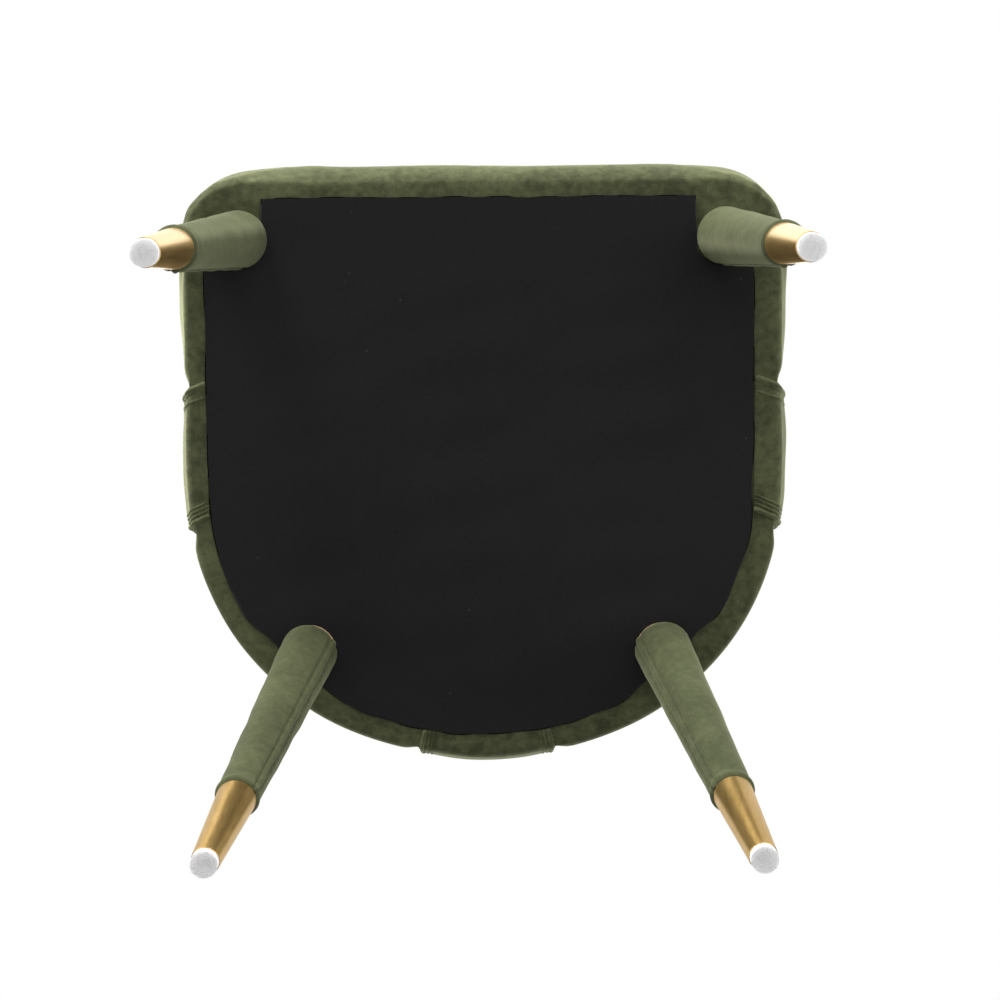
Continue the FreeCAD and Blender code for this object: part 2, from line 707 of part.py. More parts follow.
def make_post_bolts():
    """Two bolts, washers and nuts through each strip and the rail behind it."""
    bolts, washers, nuts = [], [], []
    height = value_of(f"{RAIL_BOTTOM} + post_bolt_height")
    through = value_of("strip_thickness + rail_thickness")
    for side in POSTS:
        for row in (-1, 1):
            tag = f"{side}_{'low' if row < 0 else 'high'}"
            along = row * value_of("post_bolt_spacing / 2")
            face, outward = wall_point(side, along, height, value_of(STRIP_FACE))
            # the rear rail is round inside, so a washer there seats a little further in
            slack = value_of("rear_bolt_seating") if side == "rear" else 0
            inward = Rotation(Vector(0, 0, 1), outward.negative())
            outer = Rotation(Vector(0, 0, 1), outward)
            rail_face = face - outward * (through + slack)
            nut_seat = rail_face - outward * value_of("washer_thickness")
            head = cylinder(
                f"bolt_head_{tag}", "post_bolt_head_radius", "post_bolt_head", Placement(face, outer))
            shank = cylinder(
                f"bolt_shank_{tag}", "post_bolt_radius",
                f"{through + slack} + washer_thickness + nut_thickness + post_bolt_spare",
                Placement(face, inward))
            bolts.append(combine("MultiFuse", f"bolt_{tag}", [head, shank]))
            seat = Placement(rail_face, inward)
            plate = cylinder(f"washer_plate_{tag}", "washer_radius", "washer_thickness", seat)
            washers.append(cut(f"washer_{tag}", plate, [shank]))
            hexagon = doc.addObject("Part::Prism", f"nut_blank_{tag}")
            hexagon.Polygon = 6
            bind(hexagon, "Circumradius", "nut_radius")
            bind(hexagon, "Height", "nut_thickness")
            hexagon.Placement = Placement(nut_seat, inward)
            nuts.append(cut(f"nut_{tag}", hexagon, [shank]))
    piece(combine("Compound", "post_washers_all", washers), "post_washers")
    piece(combine("Compound", "post_nuts_all", nuts), "post_nuts")
    return piece(combine("Compound", "post_bolts_all", bolts), "post_bolts")


def make_band_screws():
    """Two screws from each strip into the band's shell."""
    screws = []
    for side in POSTS:
        for level in ("low", "high"):
            tag = f"{side}_{level}"
            face, outward = wall_point(side, 0, value_of(f"band_screw_z_{level}"), value_of(STRIP_FACE))
            inward = Rotation(Vector(0, 0, 1), outward.negative())
            outer = Rotation(Vector(0, 0, 1), outward)
            on_face, into_band = Placement(face, outer), Placement(face, inward)
            head = cylinder(f"screw_head_{tag}", "screw_head_radius", "screw_head", on_face)
            shank = cylinder(f"screw_shank_{tag}", "screw_radius", "band_screw_length", into_band)
            screws.append(combine("MultiFuse", f"screw_{tag}", [head, shank]))
    return piece(combine("Compound", "band_screws_all", screws), "band_screws")


def make_back(post_bolts, band_screws):
    """The bent shell, its padding and cover, and the three posts. Returns the posts' whole volumes."""
    stand_off = "post_stand_off"
    skin = "fabric"
    inner_face = "post_stand_off - back_thickness"
    post_face = "post_stand_off - post_thickness"
    shell_inner = "(-rail_inset - shell_thickness)"
    shell_outer = "(-rail_inset)"
    cover_wall = wall("cover_wall", f"({inner_face})", stand_off)
    filling_wall = wall("filling_wall", f"({inner_face} + {skin})", f"({stand_off} - {skin})")
    foam_wall = wall("foam_wall", f"({inner_face} + {skin})", shell_inner)
    shell_wall = wall("shell_wall", shell_inner, shell_outer)
    wadding_wall = wall("wadding_wall", shell_outer, f"({stand_off} - {skin})")
    strip_wall = wall("strip_wall", shell_outer, STRIP_FACE)
    post_wall = wall("post_wall", f"({post_face})", stand_off)
    post_foam_wall = wall("post_foam_wall", f"({post_face} + {skin})", f"({stand_off} - {skin})")
    seat_core = seat_prism("seat_core", "rail_inset", "underside_z", "seat_top_z")
    fasteners = [post_bolts, band_screws]

    strips = []
    strip_bottom = f"{RAIL_BOTTOM} + strip_clearance"
    strip_slab = box("strip_slab", [f"-{WIDE}", "-seat_depth", strip_bottom], [WIDE, FAR, "strip_top_z"])
    for side in POSTS:
        blank = common(f"strip_blank_{side}", strip_wall, strip_slab, post_column(side, "strip_margin"))
        strips.append(blank)
        piece(cut(f"strip_{side}", blank, fasteners), f"post_strip_{side}")

    # foam, shell and wadding lie on each other and have one side view; the cover goes round all three
    inside = band_prism("inside_prism", skin)
    piece(common("foam_layer", foam_wall, inside), "back_foam")
    piece(cut("shell_layer", common("shell_blank", shell_wall, inside), [band_screws]), "back_shell")
    wadding = common("wadding_blank", wadding_wall, inside)
    piece(cut("wadding_layer", wadding, strips + [band_screws]), "back_wadding")
    filling = common("filling_blank", filling_wall, inside)
    cover_blank = common("cover_blank", cover_wall, band_prism("cover_prism", "0"))
    piece(cut("cover", cover_blank, [filling] + strips), "back_cover")

    volumes = []
    for side in POSTS:
        whole = cut(f"post_whole_{side}", common(f"post_blank_{side}", post_wall, post_zone(side, "0")), [seat_core])
        padding = common(f"post_padding_{side}", post_foam_wall, post_zone(side, skin))
        volumes.append(whole)
        inside_post = [seat_core] + strips + fasteners
        piece(cut(f"post_foam_{side}", padding, inside_post), f"post_foam_{side}")
        piece(cut(f"post_cover_{side}", whole, [padding] + strips + fasteners), f"post_cover_{side}")
    return volumes


# ---------------------------------------------------------------- seat padding and covers


def make_seat(posts, hanger_bolts):
    """The cushion, its velvet cover turned in under the rim, and the dust cover."""
    outside = seat_prism(
        "seat_outside", "0", "underside_z", "seat_top_z", "seat_edge_radius", "rim_edge_radius")
    inside = seat_prism(
        "seat_inside", "fabric", RAIL_BOTTOM, "(seat_top_z - fabric)",
        "seat_edge_radius - fabric", "rim_edge_radius - fabric")
    opening = seat_prism("rim_opening", "rim_turn_in", "underside_z", RAIL_BOTTOM)
    frame_zone = seat_prism("frame_zone", "rail_inset", RAIL_BOTTOM, DECK_TOP)
    piece(cut("seat_foam_cut", inside, [frame_zone] + posts), "seat_foam")
    piece(cut("seat_cover_cut", outside, [inside, opening] + posts + hanger_bolts), "seat_cover")
    sheet_blank = seat_prism("dust_blank", "dust_cover_inset", LEG_TOP, "underside_z")
    notches = []
    notch_sides = {
        "left": (f"-{WIDE}", "-dust_notch_half_width"),
        "right": ("dust_notch_half_width", WIDE),
    }
    for side, (low_x, high_x) in notch_sides.items():
        notches.append(box(f"notch_{side}", [low_x, "0", "0"], [high_x, "dust_notch_depth", FAR]))
    piece(cut("dust_cut", sheet_blank, notches + hanger_bolts), "dust_cover")


# ---------------------------------------------------------------- build, check and write


def check_document():
    """Stop at any failed object or at a sub-part with no valid shape."""
    for item in doc.Objects:
        if "Invalid" in item.State or "Error" in item.State:
            raise RuntimeError(f"{item.Name} failed: {item.State}")
    for item in pieces:
        shape = item.Shape
        if shape.isNull() or not shape.isValid() or not shape.Solids:
            raise RuntimeError(f"{item.Label} has no valid solid")


def write_parts():
    os.makedirs("parts", exist_ok=True)
    for item in pieces:
        item.Shape.exportStep(f"parts/{item.Label}.step")


legs, hanger_bolts = make_legs()
deck_screws = make_deck_screws()
post_bolts = make_post_bolts()
band_screws = make_band_screws()
make_frame(legs, hanger_bolts, post_bolts, deck_screws)
posts = make_back(post_bolts, band_screws)
make_seat(posts, hanger_bolts)
doc.recompute()
check_document()
write_parts()
print(f"{len(pieces)} sub-parts written")
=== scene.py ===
import json
import math

import bmesh
import bpy
import numpy as np
from mathutils import Matrix, Vector
from mathutils.bvhtree import BVHTree


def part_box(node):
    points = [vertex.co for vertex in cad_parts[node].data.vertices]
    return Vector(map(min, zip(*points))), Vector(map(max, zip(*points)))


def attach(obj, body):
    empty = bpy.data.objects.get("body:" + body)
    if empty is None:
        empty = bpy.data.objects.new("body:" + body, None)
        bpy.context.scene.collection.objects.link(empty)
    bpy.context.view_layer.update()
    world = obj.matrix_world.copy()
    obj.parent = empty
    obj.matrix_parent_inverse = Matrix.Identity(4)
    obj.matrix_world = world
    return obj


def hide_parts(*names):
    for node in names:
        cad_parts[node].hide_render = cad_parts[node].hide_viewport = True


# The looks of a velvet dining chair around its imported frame. Metres, +Z up, -Y is the chair's front.

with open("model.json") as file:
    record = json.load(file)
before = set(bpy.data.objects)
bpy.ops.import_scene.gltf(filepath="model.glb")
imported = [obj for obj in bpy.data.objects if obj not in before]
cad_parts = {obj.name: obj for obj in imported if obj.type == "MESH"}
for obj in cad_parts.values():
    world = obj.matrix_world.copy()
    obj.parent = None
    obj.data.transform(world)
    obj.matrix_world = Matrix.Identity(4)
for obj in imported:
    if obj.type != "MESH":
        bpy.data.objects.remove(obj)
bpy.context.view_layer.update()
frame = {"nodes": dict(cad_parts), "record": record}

# ---------------------------------------------------------------- places and sizes from the frame

SEAT_LOW, SEAT_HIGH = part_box("seat_cover")
BAND_LOW, BAND_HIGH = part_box("back_cover")
LEGS = ("front_left", "front_right", "rear_left", "rear_right")
POSTS = ("left", "right", "rear")

HALF_WIDTH = SEAT_HIGH.x
FRONT_Y = SEAT_LOW.y
UNDERSIDE = SEAT_LOW.z
SEAT_TOP = SEAT_HIGH.z
BAND_BOTTOM = BAND_LOW.z
BACK_TOP = BAND_HIGH.z

# the shape of the seat's outline and of the back's wall, as part.py has them
CORNER_RADIUS = 0.055
SIDE_RADIUS = 0.225
REAR_RADIUS = 0.300
SEAT_DEPTH = 0.503
DUST_INSET = 0.0235
NOTCH_HALF_WIDTH = 0.182
NOTCH_DEPTH = 0.084
STAND_OFF = 0.005
BACK_THICKNESS = 0.042
RAKE = 0.065
FLARE = 0.024
REAR_GROWTH = 0.030
POST_LEAN = math.radians(15)
SIDE_POST_FRONT = 0.179
SIDE_POST_WIDTH = 0.119
REAR_POST_WIDTH = 0.112
ARM_TOP = 0.656
ARM_CORNER = 0.046
FULL_HEIGHT_Y = 0.530

MIDDLE = np.array([0, FRONT_Y + SEAT_DEPTH / 2, 0])

# what the upholsterer's hand adds: the dust cover stapled a little to the left and forwards, the posts'
# velvet hanging just below the rim and drawn in where it goes round the rim
STAPLED_ASIDE = (-0.0028, -0.0022)
POST_UNDERSIDE = UNDERSIDE - 0.0012
POST_DRAW = 0.0045
POST_DRAW_REACH = 0.030
REAR_SPREAD = 0.005
REAR_SPREAD_REACH = 0.05
EDGE_RISES = (0.0003, 0.0010, 0.0022, 0.0040, 0.0065, 0.0100, 0.0145, 0.0200, 0.0265, 0.0335)
RIM_FLAT_INSET = 0.0125


# ---------------------------------------------------------------- outlines


def outline(step, inset=0.0):
    """The D-shaped outline as evenly spaced points and outward directions, from the front's middle."""
    half = HALF_WIDTH - inset
    corner = CORNER_RADIUS - inset
    side = SIDE_RADIUS - inset
    rear = REAR_RADIUS - inset
    rear_y = FRONT_Y + SEAT_DEPTH - REAR_RADIUS
    side_x = half - side
    side_y = rear_y + math.sqrt((rear - side) ** 2 - side_x ** 2)
    turn = math.atan2(side_y - rear_y, side_x)
    front = FRONT_Y + inset

    def arc(cx, cy, r, start, end):
        a = np.linspace(start, end, 60)
        return np.stack([cx + r * np.cos(a), cy + r * np.sin(a)], axis=1)

    right = np.concatenate([
        [[0, front]],
        arc(half - corner, front + corner, corner, -math.pi / 2, 0),
        arc(side_x, side_y, side, 0, turn),
        arc(0, rear_y, rear, turn, math.pi / 2),
    ])
    left = right[::-1][1:] * [-1, 1]
    path = np.concatenate([right, left])
    return resample(path, step)


def distances(path):
    """How far along a path each of its points is."""
    return np.concatenate([[0], np.cumsum(np.linalg.norm(np.diff(path, axis=0), axis=1))])


def resample(path, step):
    """Evenly spaced points along a closed path, and the outward direction at each.

    Their number divides by 16, so that capped can close the ring over coarser ones.
    """
    along = distances(path)
    count = 16 * round(along[-1] / step / 16)
    at = np.linspace(0, along[-1], count, endpoint=False)
    points = np.stack([np.interp(at, along, path[:, k]) for k in range(2)], axis=1)
    ahead = np.roll(points, -1, axis=0) - np.roll(points, 1, axis=0)
    outward = np.stack([ahead[:, 1], -ahead[:, 0]], axis=1)
    return points, outward / np.linalg.norm(outward, axis=1, keepdims=True)


def smooth(x, low, high):
    """0 below low, 1 above high, an S-curve between them."""
    t = np.clip((np.asarray(x, float) - low) / (high - low), 0, 1)
    return t * t * (3 - 2 * t)


def bump(x, centre, width):
    """1 at the centre, falling smoothly to 0 a width away on both sides."""
    return 1 - smooth(np.abs(np.asarray(x, float) - centre), 0, width)


def ripple(points, scale, seed):
    """A smooth pseudo-random value for each point, about -1 to 1, from sums of waves."""
    rng = np.random.default_rng(seed)
    waves = 6
    total = np.zeros(len(points))
    for _ in range(waves):
        direction = rng.normal(size=3)
        direction *= rng.uniform(0.6, 1.6) / scale / np.linalg.norm(direction)
        total += np.sin(points @ direction * 2 * math.pi + rng.uniform(0, 2 * math.pi))
    return total / (waves / 2)


# ---------------------------------------------------------------- meshes


def new_object(name, points, faces, material, smooth_faces=True):
    """A piece with a mesh of these points and faces, in one material."""
    mesh = bpy.data.meshes.new(name)
    mesh.from_pydata([tuple(p) for p in points], [], faces)
    mesh.validate()
    mesh.update()
    piece = bpy.data.objects.new(name, mesh)
    bpy.context.scene.collection.objects.link(piece)
    mesh.materials.append(material)
    if smooth_faces:
        mesh.shade_smooth()
    return piece


def ring_faces(rings, count, looped=False):
    """Quads between rings of count points each, and from the last ring back to the first in a loop."""
    faces = []
    for r in range(rings - 1):
        for i in range(count):
            j = (i + 1) % count
            faces.append((r * count + i, r * count + j, (r + 1) * count + j, (r + 1) * count + i))
    if looped:
        last = (rings - 1) * count
        faces += [(last + i, last + (i + 1) % count, (i + 1) % count, i) for i in range(count)]
    return faces


def capped(name, rings, material):
    """A closed mesh through rings of points, with both ends closed over ever coarser rings."""
    rings = np.asarray(rings, float)
    smallest_ring = 24
    shrink = 0.6
    number, count, _ = rings.shape
    points = [rings.reshape(-1, 3)]
    faces = ring_faces(number, count)
    total = number * count
    for first, ring, flip in ((0, rings[0], True), ((number - 1) * count, rings[-1], False)):
        middle = ring.mean(axis=0)
        size = len(ring)
        while size > smallest_ring and size % 4 == 0:
            ring = middle + (ring[::4] - middle) * shrink
            points.append(ring)
            for i in range(size // 4):
                wide = [first + (4 * i + k) % size for k in range(5)]
                narrow = [total + (i + 1) % (size // 4), total + i]
                faces.append(tuple(reversed(wide + narrow)) if flip else tuple(wide + narrow))
            first, size = total, size // 4
            total += size
        points.append(middle[None])
        for i in range(size):
            face = (first + i, first + (i + 1) % size, total)
            faces.append(tuple(reversed(face)) if flip else face)
        total += 1
    return new_object(name, np.concatenate(points), faces, material)


def ring_numbers(piece, number, count):
    """For each point of a capped mesh: which ring it is on, and where round the ring."""
    total = len(piece.data.vertices)
    extra = total - number * count
    first_cap = extra // 2
    which = np.concatenate([
        np.arange(number * count) // count,
        np.zeros(first_cap, int),
        np.full(extra - first_cap, number - 1),
    ])
    return which, np.arange(total) % count


def positions(piece):
    """A mesh's points as an array."""
    flat = np.zeros(len(piece.data.vertices) * 3, np.float32)
    piece.data.vertices.foreach_get("co", flat)
    return flat.reshape(-1, 3).astype(float)


def move_points(piece, points):
    """Put a mesh's points at the places in an array."""
    piece.data.vertices.foreach_set("co", np.asarray(points, np.float32).ravel())
    piece.data.update()


def normals_of(piece):
    """The outward direction at each of a mesh's points."""
    flat = np.zeros(len(piece.data.vertices) * 3, np.float32)
    piece.data.vertex_normals.foreach_get("vector", flat)
    return flat.reshape(-1, 3).astype(float)


def apply_modifier(piece, kind, **values):
    """Add a modifier with these values and make its result the piece's mesh."""
    modifier = piece.modifiers.new(kind, kind)
    for key, value in values.items():
        setattr(modifier, key, value)
    bpy.context.view_layer.objects.active = piece
    piece.select_set(True)
    bpy.ops.object.modifier_apply(modifier=modifier.name)
    piece.select_set(False)


# ---------------------------------------------------------------- materials


class Nodes:
    """A material and short ways to add nodes to it."""

    def __init__(self, name):
        self.material = bpy.data.materials.new(name)
        self.material.use_nodes = True
        self.tree = self.material.node_tree
        self.shader = self.tree.nodes["Principled BSDF"]

    def add(self, kind, **inputs):
        """A new node with these inputs, or settings where it has no such input."""
        node = self.tree.nodes.new(kind)
        for key, value in inputs.items():
            name = key.replace("_", " ")
            if name in node.inputs:
                node.inputs[name].default_value = value
            else:
                setattr(node, key, value)
        return node

    def link(self, source, target):
        self.tree.links.new(source, target)

    def place(self, scale=(1, 1, 1)):
        """Object coordinates, stretched."""
        coordinates = self.add("ShaderNodeTexCoord")
        mapping = self.add("ShaderNodeMapping", Scale=scale)
        self.link(coordinates.outputs["Object"], mapping.inputs["Vector"])
        return mapping.outputs["Vector"]

    def noise(self, scale, detail=3.0, roughness=0.55, stretch=(1, 1, 1), distortion=0.0):
        """Noise between 0 and 1 over the piece, with features about 1 / scale metres across."""
        node = self.add(
            "ShaderNodeTexNoise", Scale=scale, Detail=detail, Roughness=roughness, Distortion=distortion)
        self.link(self.place(stretch), node.inputs["Vector"])
        return node.outputs["Fac"]

    def ramp(self, source, stops):
        """Colours picked by a value, from (position, colour) stops."""
        node = self.add("ShaderNodeValToRGB")
        elements = node.color_ramp.elements
        for index, (position, colour) in enumerate(stops):
            if index >= len(elements):
                elements.new(position)
            elements[index].position = position
            elements[index].color = (*colour, 1)
        self.link(source, node.inputs["Fac"])
        return node.outputs["Color"]

    def mix(self, factor, first, second, blend="MIX"):
        """Two colours mixed. Each is a plain colour or another node's output."""
        node = self.add("ShaderNodeMix", data_type="RGBA", blend_type=blend)
        if isinstance(factor, float):
            node.inputs[0].default_value = factor
        else:
            self.link(factor, node.inputs[0])
        for value, socket in ((first, node.inputs[6]), (second, node.inputs[7])):
            if isinstance(value, tuple):
                socket.default_value = (*value, 1)
            else:
                self.link(value, socket)
        return node.outputs[2]

    def remap(self, source, low, high):
        """A value from 0 to 1 spread over low to high."""
        node = self.add("ShaderNodeMapRange")
        node.inputs["To Min"].default_value = low
        node.inputs["To Max"].default_value = high
        self.link(source, node.inputs["Value"])
        return node.outputs["Result"]

    def bumps(self, *layers):
        """Bump from several (height, strength, distance) layers on top of each other."""
        normal = None
        for height, strength, distance in layers:
            node = self.add("ShaderNodeBump", Strength=strength, Distance=distance)
            self.link(height, node.inputs["Height"])
            if normal:
                self.link(normal, node.inputs["Normal"])
            normal = node.outputs["Normal"]
        self.link(normal, self.shader.inputs["Normal"])

    def colour(self, source):
        self.link(source, self.shader.inputs["Base Color"])

    def roughness(self, source):
        self.link(source, self.shader.inputs["Roughness"])

    def set(self, **values):
        """Values that are the same all over, on the shader's own sockets."""
        for key, value in values.items():
            self.shader.inputs[key.replace("_", " ")].default_value = value


def velvet(name, dark, light, relief=1.0, sheen=0.5):
    """Cut-pile velvet: mottled where the pile lies over, fine pile bump, soft sheen at grazing angles.

    Relief scales the mottled bumps, which show less where the cloth is stretched tight.
    """
    n = Nodes(name)
    patches = n.noise(11.0, detail=4.0, roughness=0.6, distortion=0.5)
    brushed = n.noise(48.0, detail=4.0, roughness=0.62, distortion=0.3)
    crushed = n.noise(150.0, detail=3.0)
    pile = n.noise(620.0, detail=2.0)
    tone = n.mix(0.35, n.mix(0.5, patches, brushed), crushed)
    base = n.ramp(tone, [(0.40, dark), (0.60, light)])
    fleck = n.ramp(pile, [(0.3, (0.80, 0.80, 0.80)), (0.7, (1.0, 1.0, 1.0))])
    n.colour(n.mix(1.0, base, fleck, "MULTIPLY"))
    n.roughness(n.remap(brushed, 0.78, 0.95))
    n.set(Sheen_Weight=sheen, Sheen_Roughness=0.36, Specular_IOR_Level=0.2)
    n.set(Sheen_Tint=(0.80, 0.82, 0.50, 1))
    n.bumps(
        (patches, 0.25 * relief, 0.004),
        (brushed, 0.35 * relief, 0.0012),
        (crushed, 0.3 * relief, 0.0006),
        (pile, 0.35, 0.0003),
    )
    return n.material


def non_woven(name):
    """Black spun-bonded cloth: crossing fibres, pressed dimples and a few specks of lint."""
    n = Nodes(name)
    fibres = n.noise(520.0, detail=4.0, stretch=(1, 0.35, 1))
    across = n.noise(520.0, detail=4.0, stretch=(0.35, 1, 1))
    weave = n.mix(0.5, fibres, across)
    haze = n.noise(7.0, detail=3.0)
    cloth = n.ramp(weave, [(0.3, (0.0085, 0.0085, 0.009)), (0.7, (0.0155, 0.0155, 0.0165))])
    cloud = n.ramp(haze, [(0.3, (0.009, 0.009, 0.0095)), (0.7, (0.016, 0.016, 0.0165))])
    shaded = n.mix(0.35, cloth, cloud)
    lint = n.add("ShaderNodeTexVoronoi", Scale=30.0, Randomness=1.0)
    n.link(n.place(), lint.inputs["Vector"])
    speck = n.ramp(lint.outputs["Distance"], [(0.0, (1, 1, 1)), (0.035, (0, 0, 0))])
    n.colour(n.mix(speck, shaded, (0.05, 0.05, 0.05)))
    dimples = n.add("ShaderNodeTexVoronoi", Scale=620.0, Randomness=0.15)
    n.link(n.place(), dimples.inputs["Vector"])
    n.roughness(n.remap(weave, 0.8, 0.95))
    n.set(Specular_IOR_Level=0.18)
    n.bumps((haze, 0.2, 0.004), (weave, 0.3, 0.0004), (dimples.outputs["Distance"], 0.25, 0.0003))
    return n.material


def brushed_brass(name):
    """Satin brass colour, brushed along the leg, a little darker and rougher in patches."""
    n = Nodes(name)
    strokes = n.noise(240.0, detail=4.0, roughness=0.7, stretch=(1, 1, 0.03))
    cloud = n.noise(14.0, detail=3.0)
    tone = n.mix(0.35, strokes, cloud)
    n.colour(n.ramp(tone, [(0.3, (0.62, 0.39, 0.12)), (0.7, (0.76, 0.52, 0.20))]))
    n.roughness(n.remap(tone, 0.27, 0.40))
    n.set(Metallic=1.0)
    n.bumps((strokes, 0.04, 0.0001), (cloud, 0.03, 0.001))
    return n.material


def white_nylon(name):
    """White nylon with a soft gloss and faint scuffs, which lets a little light through."""
    n = Nodes(name)
    scuffs = n.noise(220.0, detail=4.0, stretch=(1, 0.2, 1))
    cloud = n.noise(60.0, detail=2.0)
    n.colour(n.ramp(cloud, [(0.3, (0.95, 0.95, 0.955)), (0.7, (0.97, 0.97, 0.975))]))
    n.roughness(n.remap(scuffs, 0.28, 0.5))
    n.set(Subsurface_Weight=0.6, Subsurface_Radius=(0.006, 0.006, 0.006), Subsurface_Scale=1.0)
    n.bumps((scuffs, 0.02, 0.0002))
    return n.material


def wood(name, dark, light):
    """Bare wood with a straight grain."""
    n = Nodes(name)
    grain = n.noise(60.0, detail=5.0, stretch=(1, 1, 0.12), distortion=0.6)
    pores = n.noise(700.0, detail=2.0, stretch=(1, 1, 0.05))
    n.colour(n.ramp(grain, [(0.35, dark), (0.65, light)]))
    n.roughness(n.remap(pores, 0.5, 0.7))
    n.bumps((grain, 0.1, 0.0006), (pores, 0.15, 0.0002))
    return n.material


def foam(name):
    """Cream open-cell foam."""
    n = Nodes(name)
    cells = n.add("ShaderNodeTexVoronoi", Scale=700.0)
    n.link(n.place(), cells.inputs["Vector"])
    n.colour(n.ramp(cells.outputs["Distance"], [(0.1, (0.55, 0.5, 0.36)), (0.6, (0.78, 0.73, 0.56))]))
    n.set(Roughness=0.9)
    n.bumps((cells.outputs["Distance"], 0.5, 0.0006))
    return n.material


def zinc_steel(name):
    """Zinc-plated steel with a fine brushed grain."""
    n = Nodes(name)
    grain = n.noise(300.0, detail=3.0, stretch=(1, 1, 0.1))
    n.colour(n.ramp(grain, [(0.3, (0.42, 0.43, 0.45)), (0.7, (0.62, 0.62, 0.63))]))
    n.roughness(n.remap(grain, 0.3, 0.45))
    n.set(Metallic=1.0)
    n.bumps((grain, 0.1, 0.0003))
    return n.material


def thread(name):
    """Dark olive sewing thread."""
    n = Nodes(name)
    twist = n.noise(1500.0, detail=2.0)
    n.colour(n.ramp(twist, [(0.3, (0.016, 0.019, 0.009)), (0.7, (0.04, 0.046, 0.022))]))
    n.set(Roughness=0.7)
    n.bumps((twist, 0.3, 0.0002))
    return n.material


MATERIALS = {
    "velvet": velvet("velvet", (0.046, 0.053, 0.023), (0.110, 0.120, 0.056)),
    # painted shade: the sleeves use the seat's velvet with its lighter colour darkened, so the legs look
    # shaded; their sheen is weaker too
    "sleeve_velvet": velvet(
        "sleeve_velvet", (0.048, 0.056, 0.024), (0.082, 0.092, 0.042), relief=0.6, sheen=0.16),
    "dust_cloth": non_woven("dust_cloth"),
    "foam": foam("foam"),
    "plywood": wood("plywood", (0.42, 0.28, 0.15), (0.66, 0.5, 0.3)),
    "beech": wood("beech", (0.4, 0.24, 0.12), (0.6, 0.4, 0.24)),
    "brass": brushed_brass("brass"),
    "glide_nylon": white_nylon("glide_nylon"),
    "steel": zinc_steel("steel"),
}
THREAD = thread("thread")


def dress_frame():
    """Give every carried-over CAD node its procedural material."""
    slots = {item["node"]: item["material_slot"] for item in frame["record"]["subparts"]}
    for name, node in frame["nodes"].items():
        material = MATERIALS[slots[name]]
        if not node.material_slots:
            node.data.materials.append(material)
        for place in node.material_slots:
            place.material = material


# ---------------------------------------------------------------- stage, camera and light


def make_camera():
    """The photograph's view: from below and in front, tilted back, with the chair's front at the top."""
    distance_below_floor = 1.540
    ahead_of_seat = 0.016
    aside = 0.013
    tilt = math.radians(8.6)
    roll = math.radians(-0.5)
    data = bpy.data.cameras.new("camera")
    data.lens = 83.16
    data.sensor_width = 36.0
    data.clip_end = 20
    camera = bpy.data.objects.new("camera", data)
    bpy.context.scene.collection.objects.link(camera)
    right = Vector((1, 0, 0))
    forward = Vector((0, math.sin(tilt), math.cos(tilt)))
    up = Vector((0, -math.cos(tilt), math.sin(tilt)))
    turn = Matrix((right, up, -forward)).transposed().to_4x4()
    place = Matrix.Translation((aside, FRONT_Y - ahead_of_seat, -distance_below_floor))
    camera.matrix_world = place @ turn @ Matrix.Rotation(roll, 4, "Z")
    bpy.context.scene.camera = camera


def area_light(name, place, target, size, power):
    """A round white lamp that the camera doesn't see."""
    data = bpy.data.lights.new(name, "AREA")
    data.shape = "DISK"
    data.size = size
    data.energy = power
    light = bpy.data.objects.new(name, data)
    bpy.context.scene.collection.objects.link(light)
    light.location = place
    light.rotation_mode = "QUATERNION"
    light.rotation_quaternion = (Vector(target) - Vector(place)).to_track_quat("-Z", "Y")
    light.visible_camera = False


def make_world():
    """White to the camera; a softer sky, brighter at the horizon than below, for the light."""
    world = bpy.data.worlds.new("studio")
    bpy.context.scene.world = world
    world.use_nodes = True
    tree = world.node_tree
    background = tree.nodes["Background"]
    coordinates = tree.nodes.new("ShaderNodeTexCoord")
    axes = tree.nodes.new("ShaderNodeSeparateXYZ")
    sky = tree.nodes.new("ShaderNodeMapRange")
    sky.inputs["From Min"].default_value = -1
    sky.inputs["From Max"].default_value = 0.15
    sky.inputs["To Min"].default_value = 0.26
    sky.inputs["To Max"].default_value = 0.75
    path = tree.nodes.new("ShaderNodeLightPath")
    choice = tree.nodes.new("ShaderNodeMix")
    tree.links.new(coordinates.outputs["Generated"], axes.inputs[0])
    tree.links.new(axes.outputs["Z"], sky.inputs["Value"])
    tree.links.new(path.outputs["Is Camera Ray"], choice.inputs[0])
    tree.links.new(sky.outputs["Result"], choice.inputs[2])
    choice.inputs[3].default_value = 1.0
    tree.links.new(choice.outputs[0], background.inputs["Strength"])
    background.inputs["Color"].default_value = (1, 1, 1, 1)


